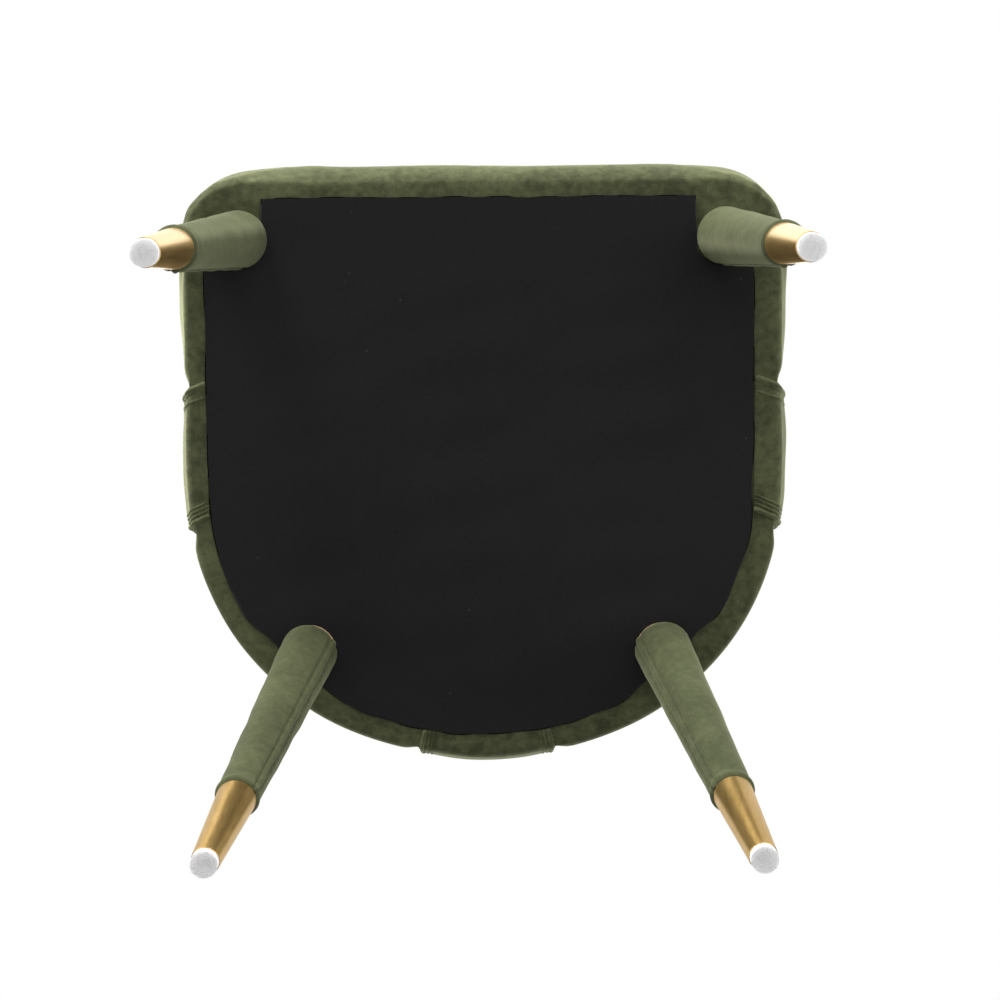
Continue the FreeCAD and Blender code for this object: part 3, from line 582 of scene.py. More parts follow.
def make_stage():
    """A pale floor that can't be seen from below, the studio lights and the view settings."""
    half = 3.0
    corners = [(-half, -half, 0), (half, -half, 0), (half, half, 0), (-half, half, 0)]
    n = Nodes("floor")
    n.colour(n.ramp(n.noise(3.0), [(0.3, (0.78, 0.78, 0.78)), (0.7, (0.82, 0.82, 0.81))]))
    n.set(Roughness=0.8)
    behind = n.add("ShaderNodeNewGeometry")
    clear = n.add("ShaderNodeBsdfTransparent")
    # the floor fades out well away from the chair
    reach = n.add("ShaderNodeVectorMath", operation="LENGTH")
    n.link(n.place(), reach.inputs[0])
    fade = n.add("ShaderNodeMapRange", interpolation_type="SMOOTHSTEP")
    fade.inputs["From Min"].default_value = 0.9
    fade.inputs["From Max"].default_value = 2.6
    n.link(reach.outputs["Value"], fade.inputs["Value"])
    unseen = n.add("ShaderNodeMath", operation="MAXIMUM")
    n.link(behind.outputs["Backfacing"], unseen.inputs[0])
    n.link(fade.outputs["Result"], unseen.inputs[1])
    choice = n.add("ShaderNodeMixShader")
    output = n.tree.nodes["Material Output"]
    n.link(unseen.outputs[0], choice.inputs[0])
    n.link(n.shader.outputs[0], choice.inputs[1])
    n.link(clear.outputs[0], choice.inputs[2])
    n.link(choice.outputs[0], output.inputs["Surface"])
    floor = new_object("floor", corners, [(0, 1, 2, 3)], n.material, smooth_faces=False)
    floor.visible_shadow = False
    floor.visible_diffuse = False
    floor.visible_glossy = False
    aim = MIDDLE + [0, 0, 0.3]
    area_light("key", (-1.0, -2.6, 0.35), aim, 1.4, 135)
    area_light("fill", (2.4, -0.9, 0.3), aim, 1.8, 36)
    area_light("side", (-2.5, 0.2, 0.2), aim, 1.8, 30)
    area_light("rear", (0.8, 2.3, 1.3), aim, 1.6, 28)
    area_light("below", (0.9, -1.5, -1.6), aim, 2.4, 24)
    area_light("overhead", (0, 0, 2.6), aim, 1.8, 30)
    bpy.context.scene.view_settings.view_transform = "Standard"


# ---------------------------------------------------------------- the wall that the back follows

FULL_RISE = BACK_TOP - SEAT_TOP
SIDE_X = HALF_WIDTH - SIDE_RADIUS
REAR_CENTRE = FRONT_Y + SEAT_DEPTH - REAR_RADIUS
# the side and rear radii and the rear arc's centre, at the seat's top and at the back's top
LOFT = (
    (SIDE_RADIUS, REAR_RADIUS, REAR_CENTRE),
    (SIDE_RADIUS + FLARE, REAR_RADIUS + REAR_GROWTH, REAR_CENTRE + RAKE - REAR_GROWTH),
)


def horseshoe_turn(side, rear):
    """Where the rear arc meets the side arc: its direction from +X, and how far behind
    the rear arc's centre the side arc's is."""
    reach = math.sqrt((rear - side) ** 2 - SIDE_X ** 2)
    return math.atan2(reach, SIDE_X), reach


REAR_ARC = REAR_RADIUS * (math.pi / 2 - horseshoe_turn(SIDE_RADIUS, REAR_RADIUS)[0])
SIDE_ARC = SIDE_RADIUS * horseshoe_turn(SIDE_RADIUS, REAR_RADIUS)[0]


def wall(along, height, offset):
    """Points on the back's wall.

    Along is the distance from the rear's middle, positive to the right, measured on the seat's
    outline. Height is above the floor. Offset is outwards from the outline.
    """
    values = (np.asarray(v, float) for v in (along, height, offset))
    along, height, offset = np.broadcast_arrays(*values)
    up = np.clip((height - SEAT_TOP) / FULL_RISE, 0, 1.05)
    distance = np.abs(along)
    levels = []
    for side, rear, centre in LOFT:
        turn, reach = horseshoe_turn(side, rear)
        rear_angle = math.pi / 2 - (math.pi / 2 - turn) * np.clip(distance / REAR_ARC, 0, 1)
        side_angle = turn * (1 - np.clip((distance - REAR_ARC) / SIDE_ARC, 0, 1))
        ahead = np.clip(distance - REAR_ARC - SIDE_ARC, 0, None)
        on_rear = distance < REAR_ARC
        x = np.where(
            on_rear, (rear + offset) * np.cos(rear_angle),
            SIDE_X + (side + offset) * np.cos(side_angle))
        y = np.where(
            on_rear, centre + (rear + offset) * np.sin(rear_angle),
            centre + reach + (side + offset) * np.sin(side_angle) - ahead)
        levels.append(np.stack([x, y], axis=-1))
    flat = levels[0] * (1 - up[..., None]) + levels[1] * up[..., None]
    flat[..., 0] *= np.where(along < 0, -1, 1)
    return np.concatenate([flat, height[..., None]], axis=-1)


def along_at(y, height):
    """How far along the wall, on the right, it has this Y at this height."""
    y, height = np.broadcast_arrays(np.asarray(y, float), np.asarray(height, float))
    straight = 0.25
    halvings = 22
    near, far = np.zeros(y.shape), np.full(y.shape, REAR_ARC + SIDE_ARC + straight)
    for _ in range(halvings):
        middle = (near + far) / 2
        behind = wall(middle, height, 0.0)[..., 1] > y
        near, far = np.where(behind, middle, near), np.where(behind, far, middle)
    return (near + far) / 2


# ---------------------------------------------------------------- cloth simulation


def inflate(piece, held, cap):
    """Blow the piece up as cloth, with some points held, and let no point move further than the cap."""
    pressure = 3.0
    stiffness = 20.0
    frames = 20
    before = positions(piece)
    group = piece.vertex_groups.new(name="held")
    for weight in sorted(set(np.round(held, 2))):
        if weight > 0:
            group.add(np.flatnonzero(np.round(held, 2) == weight).tolist(), float(weight), "REPLACE")
    modifier = piece.modifiers.new("cloth", "CLOTH")
    settings = modifier.settings
    settings.quality = 5
    settings.mass = 0.25
    settings.tension_stiffness = stiffness
    settings.compression_stiffness = stiffness
    settings.shear_stiffness = stiffness / 2
    settings.bending_stiffness = 0.6
    settings.vertex_group_mass = "held"
    settings.use_pressure = True
    settings.uniform_pressure_force = pressure
    settings.effector_weights.gravity = 0
    modifier.collision_settings.use_collision = False
    modifier.point_cache.frame_end = frames
    scene = bpy.context.scene
    for step in range(1, frames + 1):
        scene.frame_set(step)
    shape = piece.evaluated_get(bpy.context.evaluated_depsgraph_get()).to_mesh()
    flat = np.zeros(len(before) * 3, np.float32)
    shape.vertices.foreach_get("co", flat)
    after = flat.reshape(-1, 3).astype(float)
    piece.modifiers.remove(modifier)
    piece.vertex_groups.remove(group)
    scene.frame_set(1)
    move = np.nan_to_num(after - before)
    length = np.linalg.norm(move, axis=1, keepdims=True)
    move_points(piece, before + move * np.minimum(1, cap / np.maximum(length, 1e-9)))


# ---------------------------------------------------------------- seat cushion


def side_post_mask(points, reach=0.020):
    """1 on the seat's sides where the side posts stand against it, 0 away from them."""
    lean = (points[:, 2] - UNDERSIDE) * math.tan(POST_LEAN)
    front = FRONT_Y + SIDE_POST_FRONT + lean
    behind = front + SIDE_POST_WIDTH
    return smooth(points[:, 1], front - reach, front) * (1 - smooth(points[:, 1], behind, behind + reach))


def rear_post_mask(points, reach=0.016):
    """1 on the seat's rear where the rear post stands against it, 0 away from it."""
    half = REAR_POST_WIDTH / 2
    return (1 - smooth(np.abs(points[:, 0]), half, half + reach)) * (points[:, 1] > FRONT_Y + SEAT_DEPTH / 2)


def low_edge_inset(rise, swell=0.0022):
    """How far in the seat's side is at a rise above the underside: a small round, then a soft swell."""
    radius = 0.007
    swell_height = 0.040
    circle = radius - np.sqrt(np.clip(radius ** 2 - np.clip(radius - rise, 0, None) ** 2, 0, None))
    return circle + swell * (1 - smooth(rise, 0, swell_height))


def make_seat():
    """The seat's cushion: foam and velvet over the wooden frame, hollow underneath where the frame is."""
    deck_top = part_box("seat_deck")[1].z + 0.0004
    wood_inset = 0.0078
    flap_inset = 0.036
    flap_top = UNDERSIDE + 0.001
    corner_reach = 0.31
    top_radius = 0.030
    crown = 0.010
    edge_drop = 0.004
    ring_step = 0.005
    base, outward = outline(ring_step)
    rings = []

    # the rim is drawn in a little more round the rear and along the front
    low_swell = 0.0022 + 0.0018 * smooth(base[:, 1], MIDDLE[1], MIDDLE[1] + 0.2)
    low_swell += 0.0020 * (1 - smooth(base[:, 1], FRONT_Y, FRONT_Y + 0.03))

    def ring(inset, height):
        inset = np.broadcast_to(inset, len(base))[:, None]
        rings.append(np.column_stack([base - outward * inset, np.full(len(base), height)]))

    def inner_ring(start, share, height):
        around = (base - outward * start - MIDDLE[:2]) * share + MIDDLE[:2]
        rings.append(np.column_stack([around, np.broadcast_to(height, len(base))]))

    inside_shares = np.linspace(0.04, 1.0, 12)
    for share in inside_shares:
        inner_ring(wood_inset, share, deck_top)
    for height in np.linspace(deck_top, flap_top, 10)[1:]:
        ring(wood_inset, height)
    # the turned-under velvet reaches further in at the front corners, round the legs
    from_front = base[:, 1] - FRONT_Y
    at_corner = smooth(np.abs(base[:, 0]), 0.130, 0.185) * (1 - smooth(from_front, 0.085, 0.120))
    straight_in = base - outward * flap_inset
    to_middle = base + (MIDDLE[:2] - base) * corner_reach
    flap_edge = straight_in + (to_middle - straight_in) * at_corner[:, None]

    def flap_ring(share, start_inset, height):
        start = base - outward * start_inset
        rings.append(np.column_stack([start + (flap_edge - start) * share, np.full(len(base), height)]))

    for share in np.linspace(0, 1, 7)[1:]:
        flap_ring(share, wood_inset, flap_top)
    for share in np.linspace(1, 0, 8):
        flap_ring(share, RIM_FLAT_INSET, UNDERSIDE - 0.0006 * share)
    first_outer = len(rings)
    low_height = 0.040
    for rise in EDGE_RISES:
        ring(low_edge_inset(rise, low_swell), UNDERSIDE + rise)
    side_top = SEAT_TOP - edge_drop - top_radius
    for height in np.linspace(UNDERSIDE + low_height, side_top, 4):
        ring(0, height)
    for angle in np.linspace(0, math.pi / 2, 10)[1:]:
        ring(top_radius * (1 - math.cos(angle)), side_top + top_radius * math.sin(angle))
    first_top = len(rings)
    for share in np.linspace(1.0, 0.04, 40)[1:]:
        rise = crown * (1 - share ** 2.4)
        inner_ring(top_radius, share, SEAT_TOP - edge_drop + rise)
    piece = capped("seat_cushion", rings, MATERIALS["velvet"])
    count = len(base)
    points = positions(piece)
    number, ring_index = ring_numbers(piece, len(rings), count)

    # puffed sides, and dents where the back's posts hold the sides in
    outer = number >= first_outer
    level = (points[:, 2] - UNDERSIDE) / (SEAT_TOP - UNDERSIDE)
    direction = np.zeros_like(points)
    direction[:, :2] = outward[ring_index]
    on_side = outer & (number < first_top + 3)
    puff = 0.0010 * np.sin(np.clip(level, 0, 1) * math.pi)
    dent = np.maximum(side_post_mask(points), rear_post_mask(points))
    pull = (0.0035 * smooth(level, 0.0, 0.03) + 0.0037 * smooth(level, 0.03, 0.14)) * dent
    pull *= 1 - smooth(level, 0.86, 1.0)
    dent = dent * smooth(level, 0.03, 0.12)
    points += direction * ((puff * (1 - dent) - pull) * on_side)[:, None]
    move_points(piece, points)

    held = np.where(outer, 0.0, 1.0)
    held[number < first_outer + 1] = 1.0
    held = np.maximum(held, np.where(outer, dent * (1 - smooth(level, 0.8, 0.95)) * 0.9, 0))
    inflate(piece, held, cap=0.008)

    # creases that run to the seam, and little puckers beside the front legs
    points = positions(piece)
    direction = normals_of(piece)
    near_top = bump(number, first_top - 2, 9) * outer
    wave = ripple(points * [1, 1, 0.4], 0.022, 5)
    points += direction * (0.0006 * wave * near_top)[:, None]
    low_side = outer * bump(level, 0.06, 0.16)
    for sign in (-1, 1):
        spot = np.array([sign * (HALF_WIDTH - 0.035), FRONT_Y + 0.03, UNDERSIDE])
        close = 1 - smooth(np.linalg.norm(points - spot, axis=1), 0.02, 0.075)
        pucker = np.abs(ripple(points, 0.016, 11 + sign))
        points += direction * (0.0010 * pucker * close * low_side)[:, None]
    soft_waves = ripple(points, 0.09, 3) * outer
    points += direction * (0.0009 * soft_waves * (0.25 + 0.75 * smooth(level, 0.05, 0.2)))[:, None]
    move_points(piece, points)
    seam_ring = first_top - 3
    seam = points[seam_ring * count:(seam_ring + 1) * count]
    apply_modifier(piece, "SUBSURF", levels=1)
    welt = laid_on(even(seam, 0.004, closed=True), surface_of(piece), 0.0006)
    fit_trim(tube("seat_piping", welt, 0.0020, MATERIALS["velvet"], closed=True))
    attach(piece, "root")
    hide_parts("seat_foam", "seat_cover")


# ---------------------------------------------------------------- tubes and stitches


def tube(name, path, radius, material, closed=False, flatten=1.0):
    """A round or flattened tube along a path of points, with flat ends when it isn't closed."""
    sides = 10
    path = np.asarray(path, float)
    ahead = np.roll(path, -1, axis=0) - np.roll(path, 1, axis=0)
    if not closed:
        ahead[0], ahead[-1] = path[1] - path[0], path[-1] - path[-2]
    ahead /= np.linalg.norm(ahead, axis=1, keepdims=True)
    side = np.cross(ahead[0], [0.3, 0.2, 1.0])
    around = np.linspace(0, 2 * math.pi, sides, endpoint=False)
    radii = np.broadcast_to(radius, len(path))
    rings = []
    for point, direction, r in zip(path, ahead, radii):
        side = side - direction * (side @ direction)
        side /= np.linalg.norm(side)
        other = np.cross(direction, side)
        section = np.outer(np.cos(around), side) + flatten * np.outer(np.sin(around), other)
        rings.append(point + r * section)
    if closed:
        points = np.asarray(rings).reshape(-1, 3)
        return new_object(name, points, ring_faces(len(path), sides, looped=True), material)
    return capped(name, rings, material)


def join(pieces, name):
    """Several pieces as one, in the first one's material."""
    bpy.ops.object.select_all(action="DESELECT")
    for piece in pieces:
        piece.select_set(True)
    bpy.context.view_layer.objects.active = pieces[0]
    bpy.ops.object.join()
    whole = pieces[0]
    whole.name = name
    whole.data.name = name
    whole.select_set(False)
    return whole


def surface_of(piece):
    """The piece's surface as it is now, for finding the nearest point on it."""
    mesh = piece.data
    return BVHTree.FromPolygons([v.co for v in mesh.vertices], [p.vertices for p in mesh.polygons])


def laid_on(path, surface, lift):
    """The path moved onto a surface and raised by a lift."""
    out = []
    for point in path:
        near, normal, _, _ = surface.find_nearest(Vector(point))
        out.append(near + normal * lift)
    return np.array([tuple(p) for p in out])


def even(path, step, closed=False):
    """The path again, with points a step apart."""
    path = np.asarray(path, float)
    if closed:
        path = np.concatenate([path, path[:1]])
    far = distances(path)
    at = np.linspace(0, far[-1], max(3, round(far[-1] / step) + 1))
    if closed:
        at = at[:-1]
    return np.stack([np.interp(at, far, path[:, k]) for k in range(3)], axis=1)


def stitches(name, path, surface):
    """Thread stitches along a path, each a short tube sunk into the fabric at both ends."""
    length = 0.0032
    gap = 0.0016
    radius = 0.00032
    rings = 5
    sides = 6
    pitch = rings + 1
    path = even(path, (length + gap) / pitch)
    arch = np.sin(np.linspace(0, math.pi, rings))[:, None] * 1.3 - 0.5
    around = np.linspace(0, 2 * math.pi, sides, endpoint=False)
    last = (rings - 1) * sides
    points, faces = [], []
    for start in range(0, len(path) - rings, pitch):
        part = laid_on(path[start:start + rings], surface, 0.0)
        up = laid_on(path[start:start + rings], surface, 1.0) - part
        part = part + up * radius * arch
        ahead = part[-1] - part[0]
        ahead /= np.linalg.norm(ahead)
        side = np.cross(ahead, [0.31, 0.17, 0.93])
        side /= np.linalg.norm(side)
        other = np.cross(ahead, side)
        base = len(points)
        section = np.outer(np.cos(around), side) + np.outer(np.sin(around), other)
        for point in part:
            points.extend(point + radius * section)
        faces += [tuple(base + i for i in face) for face in ring_faces(rings, sides)]
        faces.append(tuple(base + i for i in reversed(range(sides))))
        faces.append(tuple(base + last + i for i in range(sides)))
    return new_object(name, points, faces, THREAD)


def fit_trim(piece):
    """Piping, pleats and stitches ride on the frame."""
    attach(piece, "root")


# ---------------------------------------------------------------- the back


def side_line(y):
    """The band's top line: level arm, S-curve of two equal arcs, level rear. Y is from the seat's front."""
    corner_height = BAND_BOTTOM - UNDERSIDE + ARM_TOP - ARM_CORNER - BAND_BOTTOM
    corner_y = SIDE_POST_FRONT + corner_height * math.tan(POST_LEAN)
    start = corner_y + ARM_CORNER / math.cos(POST_LEAN)
    rise, run = BACK_TOP - ARM_TOP, FULL_HEIGHT_Y - start
    bend = (run ** 2 + rise ** 2) / (4 * rise)
    middle = start + run / 2
    y = np.asarray(y, float)

    def arc(radius, distance, limit):
        """How far above its centre an arc is at a distance from it."""
        return np.sqrt(np.clip(radius ** 2 - np.clip(distance, 0, limit) ** 2, 0, None))

    hollow = ARM_TOP + bend - arc(bend, y - start, run / 2)
    crest = BACK_TOP - bend + arc(bend, FULL_HEIGHT_Y - y, run / 2)
    corner = ARM_TOP - ARM_CORNER + arc(ARM_CORNER, start - y, ARM_CORNER)
    return np.where(y < start, corner, np.where(y < middle, hollow, crest))


def rounded_loop(half_u, half_v, radius, count):
    """Points evenly round a rounded rectangle about the origin, from the middle of the +u side."""
    radius = min(radius, half_u, half_v)
    quarter = np.linspace(0, math.pi / 2, 9)
    path = [[half_u, 0]]
    for k, (su, sv) in enumerate(((1, 1), (-1, 1), (-1, -1), (1, -1))):
        a = quarter + k * math.pi / 2
        path += list(np.column_stack([
            su * (half_u - radius) + radius * np.cos(a), sv * (half_v - radius) + radius * np.sin(a)]))
    path.append([half_u, 0])
    path = np.array(path)
    far = distances(path)
    at = np.linspace(0, far[-1], count, endpoint=False)
    return np.stack([np.interp(at, far, path[:, k]) for k in range(2)], axis=1)


def make_band():
    """The padded band: arms and back in one, from the left arm's front round the rear to the right's."""
    half_thickness = BACK_THICKNESS / 2
    middle_offset = STAND_OFF - half_thickness
    count = 120
    step = 0.006
    edge_radius = 0.019
    # the padding stands a little proud of the shell's cut edges
    proud = 0.004
    lean = math.tan(POST_LEAN)
    front_at_bottom = FRONT_Y + SIDE_POST_FRONT + (BAND_BOTTOM - UNDERSIDE) * lean - proud
    longest = float(along_at(front_at_bottom, BAND_BOTTOM))
    ends = half_thickness * (1 - np.cos(np.linspace(0.12, math.pi / 2, 9)))
    inner = np.arange(half_thickness + step, longest, step)
    depth = np.concatenate([ends, inner])
    depth = depth[depth < longest - step / 2]

    def along_of(d, y_low, height):
        """How far along the wall a ring is at a height: it leans at the arm's front, and not at the rear."""
        leaning = along_at(y_low + lean * (height - BAND_BOTTOM), height)
        return leaning + (longest - d - leaning) * smooth(d, 0.02, 0.24)

    rings = []
    for sign in (-1, 1):
        half_rings = []
        for d in depth:
            share = d / half_thickness
            fullness = math.sqrt(1 - (1 - share) ** 2) if share < 1 else 1.0
            y_low = wall(longest - d, BAND_BOTTOM, 0.0)[1]
            top = BACK_TOP
            # the top line's height depends on where the ring's top is, so a few rounds find it
            for _ in range(8):
                top = float(side_line(wall(along_of(d, y_low, top), top, 0.0)[1] - FRONT_Y))
            top += proud
            low = BAND_BOTTOM - 0.001 + half_thickness * 0.8 * (1 - fullness)
            loop = rounded_loop((top - low) / 2, half_thickness * fullness, edge_radius, count)
            height = (top + low) / 2 + loop[:, 0]
            offset = middle_offset + loop[:, 1]
            half_rings.append(wall(sign * along_of(d, y_low, height), height, offset))
        rings.append(half_rings)
    left, right = rings
    loop = rounded_loop((BACK_TOP - BAND_BOTTOM) / 2, half_thickness, edge_radius, count)
    middle = wall(0.0, left[-1][:, 2], middle_offset + loop[:, 1])
    return left + [middle] + right[::-1]


def order_faces(piece):
    """Make the faces' sides agree and point outwards."""
    mesh = bmesh.new()
    mesh.from_mesh(piece.data)
    bmesh.ops.recalc_face_normals(mesh, faces=mesh.faces)
    mesh.to_mesh(piece.data)
    mesh.free()


def make_back():
    """The band's padded cover, and the piping sewn round its outer edge."""
    rings = np.array(make_band())
    middle = rings[len(rings) // 2]
    top_corner = int(np.argmax(middle[:, 2] + middle[:, 1]))
    low_corner = int(np.argmax(middle[:, 1] - middle[:, 2]))
    edge = np.concatenate([rings[3:-3, top_corner], rings[3:-3, low_corner][::-1]])
    piece = capped("back_upholstery", rings, MATERIALS["velvet"])
    order_faces(piece)
    points = positions(piece)
    low_edge = 1 - smooth(points[:, 2], BAND_BOTTOM + 0.004, BAND_BOTTOM + 0.02)
    inflate(piece, low_edge, cap=0.009)
    points = positions(piece)
    direction = normals_of(piece)
    points += direction * (0.0012 * ripple(points, 0.10, 21) + 0.0005 * ripple(points, 0.03, 22))[:, None]
    move_points(piece, points)
    apply_modifier(piece, "SUBSURF", levels=1)
    welt = laid_on(even(edge, 0.004, closed=True), surface_of(piece), 0.0007)
    fit_trim(tube("back_piping", welt, 0.0021, MATERIALS["velvet"], closed=True))
    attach(piece, "root")
    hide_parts("back_foam", "back_wadding", "back_cover")


# ---------------------------------------------------------------- posts


def post_face(rise):
    """How far out a post's outer face is at a rise above its lower end."""
    return STAND_OFF - POST_DRAW * (1 - smooth(rise, 0, POST_DRAW_REACH)) - low_edge_inset(rise)


def cloth_inset(side):
    """How far in from the seat's outline the dust cover's edge is, beside a post."""
    aside = {"left": STAPLED_ASIDE[0], "right": -STAPLED_ASIDE[0], "rear": -STAPLED_ASIDE[1]}
    return DUST_INSET + aside[side]


def post_path(side):
    """The post's run: in under the rim, round its edge, up the outside and into the band.

    Each station gives the outer and inner face as (offset, height).
    """
    tuck_end = -cloth_inset(side) + 0.0004
    on_rim = UNDERSIDE - 0.0001
    step = 0.006
    stations = []
    for offset in np.linspace(tuck_end, -RIM_FLAT_INSET, 5):
        stations.append(((offset, POST_UNDERSIDE), (offset, on_rim)))
    for rise in EDGE_RISES:
        outer = (post_face(rise), POST_UNDERSIDE + rise)
        inner = (-0.0085 + 0.0015 * smooth(rise, 0, 0.02), on_rim + rise * 0.98)
        stations.append((outer, inner))
    start = stations[-1][0][1]
    top = BAND_BOTTOM + 0.018
    # the inner face is against the seat's side, and further in above the seat, where the padding is whole
    for height in np.arange(start + step, top, step):
        inside = -0.0070 - 0.0125 * smooth(height, SEAT_TOP - 0.034, SEAT_TOP + 0.002)
        stations.append(((STAND_OFF, height), (inside, height)))
    return stations


def make_post(side):
    """One post's padded velvet cover, with its lower end pulled round the rim and turned under."""
    stations = post_path(side)
    count = 96
    edge_radius = 0.011
    edge_drop = 0.0030
    rear_draw = 0.0020
    rear_draw_reach = 0.024
    width = REAR_POST_WIDTH if side == "rear" else SIDE_POST_WIDTH
    spread = REAR_SPREAD if side == "rear" else 0
    rings = []
    for outer, inner in stations:
        outer, inner = np.array(outer), np.array(inner)
        centre = (outer + inner) / 2
        across = outer - inner
        thick = np.linalg.norm(across)
        across = across / thick
        half = width / 2 + spread * (1 - smooth(centre[1], UNDERSIDE, UNDERSIDE + REAR_SPREAD_REACH))
        loop = rounded_loop(half, thick / 2, edge_radius, count)
        sunk = edge_drop * (loop[:, 0] / half) ** 2 * np.clip(loop[:, 1] / (thick / 2), 0, 1)
        offset = centre[0] + across[0] * loop[:, 1] - sunk * (across[0] > 0.5)
        height = centre[1] + across[1] * loop[:, 1]
        if side == "rear":
            along = loop[:, 0]
            drawn_in = rear_draw * (1 - smooth(height, UNDERSIDE, UNDERSIDE + rear_draw_reach))
            offset = offset - drawn_in * (across[0] > 0.5)
        else:
            along = post_middle(side, centre[1]) - loop[:, 0] + tuck_shear(centre[0])
            if side == "left":
                along = -along
        rings.append(wall(along, height, offset))
    piece = capped(f"post_pad_{side}", rings, MATERIALS["velvet"])
    order_faces(piece)
    points = positions(piece)
    held = 1 - smooth(points[:, 2], UNDERSIDE + 0.012, UNDERSIDE + 0.05)
    held = np.maximum(held, smooth(points[:, 2], BAND_BOTTOM - 0.01, BAND_BOTTOM + 0.004))
    inflate(piece, held, cap=0.005)
    points = positions(piece)
    direction = normals_of(piece)
    above_rim = smooth(points[:, 2], UNDERSIDE + 0.01, UNDERSIDE + 0.04)
    points += direction * (0.0009 * ripple(points, 0.05, 31 + POSTS.index(side)) * above_rim)[:, None]
    move_points(piece, points)
    apply_modifier(piece, "SUBSURF", levels=1)
    trim_post(side, surface_of(piece))
    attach(piece, "root")
    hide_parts(f"post_foam_{side}", f"post_cover_{side}")


def tuck_shear(offset):
    """How far forwards the side posts' velvet is pulled where it is tucked in under the rim."""
    return 0.009 * np.clip(-np.asarray(offset, float) / DUST_INSET, 0, 1)


def post_middle(side, height):
    """How far along the wall a post's middle line is at a height, on the right or at the rear."""
    if side == "rear":
        return 0.0
    lean = np.clip(np.asarray(height, float) - UNDERSIDE, 0, None) * math.tan(POST_LEAN)
    return along_at(FRONT_Y + SIDE_POST_FRONT + SIDE_POST_WIDTH / 2 + lean, height)


def edge_line(side, edge, reach, top, slant=0.0):
    """A line down a post's outer face and in under the rim, near one of the post's two edges.

    Edge is -1 or 1: the front or rear one on the sides, the left or right one at the rear. Reach is
    from the post's middle. Slant moves the line's tucked-under end along the rim.
    """
    under = np.linspace(-cloth_inset(side) + 0.0006, -0.007, 8)
    rise = np.array([0.0003, 0.0015, 0.004, 0.008, 0.013, 0.020, 0.030])
    up = np.arange(UNDERSIDE + 0.036, top, 0.006)
    height = np.concatenate([np.full(len(under), POST_UNDERSIDE), POST_UNDERSIDE + rise, up])
    offset = np.concatenate([under, post_face(rise), np.full(len(up), STAND_OFF)])
    tucked = np.clip(-offset / DUST_INSET, 0, 1)
    reach = edge * reach + slant * tucked
    if side == "rear":
        reach = reach + edge * REAR_SPREAD * (1 - smooth(height, UNDERSIDE, UNDERSIDE + REAR_SPREAD_REACH))
        return wall(reach, height, offset)
    along = post_middle(side, height) - reach + tuck_shear(offset)
    return wall(along if side == "right" else -along, height, offset)


def trim_post(side, surface):
    """Piping along the post's two edges, and the pleats where its velvet is pulled in under the rim."""
    width = REAR_POST_WIDTH if side == "rear" else SIDE_POST_WIDTH
    lift = 0.0002
    pieces = []
    for edge in (-1, 1):
        line = laid_on(edge_line(side, edge, width / 2 - 0.0032, BAND_BOTTOM + 0.004), surface, lift)
        pieces.append(tube("piping", even(line, 0.003), 0.0018, MATERIALS["velvet"]))
        # each pleat's distance from the post's edge, slant and radius
        if side == "rear":
            pleats = [(-0.0075, 0.0, 0.0015), (-0.0110, -0.001 * edge, 0.0011)]
        elif edge < 0:
            pleats = [(-0.0065, -0.001, 0.0012), (-0.0135, 0.001, 0.0012)]
        else:
            pleats = [(-0.0075, -0.001, 0.0012), (-0.0110, -0.002, 0.0012), (-0.0145, -0.002, 0.0011)]
        for shift, slant, radius in pleats:
            line = edge_line(side, edge, width / 2 + shift, UNDERSIDE + 0.030, slant)
            line = even(laid_on(line, surface, lift), 0.002)
            thin = np.sin(np.linspace(0.25, math.pi - 0.15, len(line))) ** 0.7
            pieces.append(tube("pleat", line, radius * thin, MATERIALS["velvet"], flatten=0.6))
    fit_trim(join(pieces, f"post_trim_{side}"))


# ---------------------------------------------------------------- dust cover


DUST_STEP = 0.0025


def dust_outline():
    """The dust cover's cut edge: the seat's outline drawn in, notched round the front legs, a little wavy."""
    points, outward = outline(DUST_STEP, inset=DUST_INSET)
    wobble = 0.0009 * ripple(np.column_stack([points, points[:, 0] * 0]), 0.05, 41)
    points = points - outward * wobble[:, None]
    # at the rear legs the cloth is cut back towards the leg
    rear_leg = leg_axis("rear_right")[1]
    away = np.hypot(np.abs(points[:, 0]) - rear_leg[0], points[:, 1] - rear_leg[1])
    at_rear = points[:, 1] > MIDDLE[1]
    points = points - outward * (0.006 * (1 - smooth(away, 0.034, 0.060)) * at_rear)[:, None]
    centre_x, centre_y = leg_axis("front_right")[1][:2]
    around_leg = 0.0256
    notch_y = FRONT_Y + NOTCH_DEPTH - 0.010
    corner = (np.abs(points[:, 0]) > NOTCH_HALF_WIDTH) & (points[:, 1] < notch_y)
    start = math.pi - math.acos((centre_x - NOTCH_HALF_WIDTH) / around_leg)
    end = math.asin((notch_y - centre_y) / around_leg)
    turn = np.linspace(start, end, 14)
    arc = np.column_stack([centre_x + around_leg * np.cos(turn), centre_y + around_leg * np.sin(turn)])
    path = []
    for index, point in enumerate(points):
        after = (index + 1) % len(points)
        if not corner[index]:
            path.append(point)
        if corner[index] != corner[after] and corner[after]:
            path += list(arc) if point[0] > 0 else list(arc[::-1] * [-1, 1])
    return np.array(path)


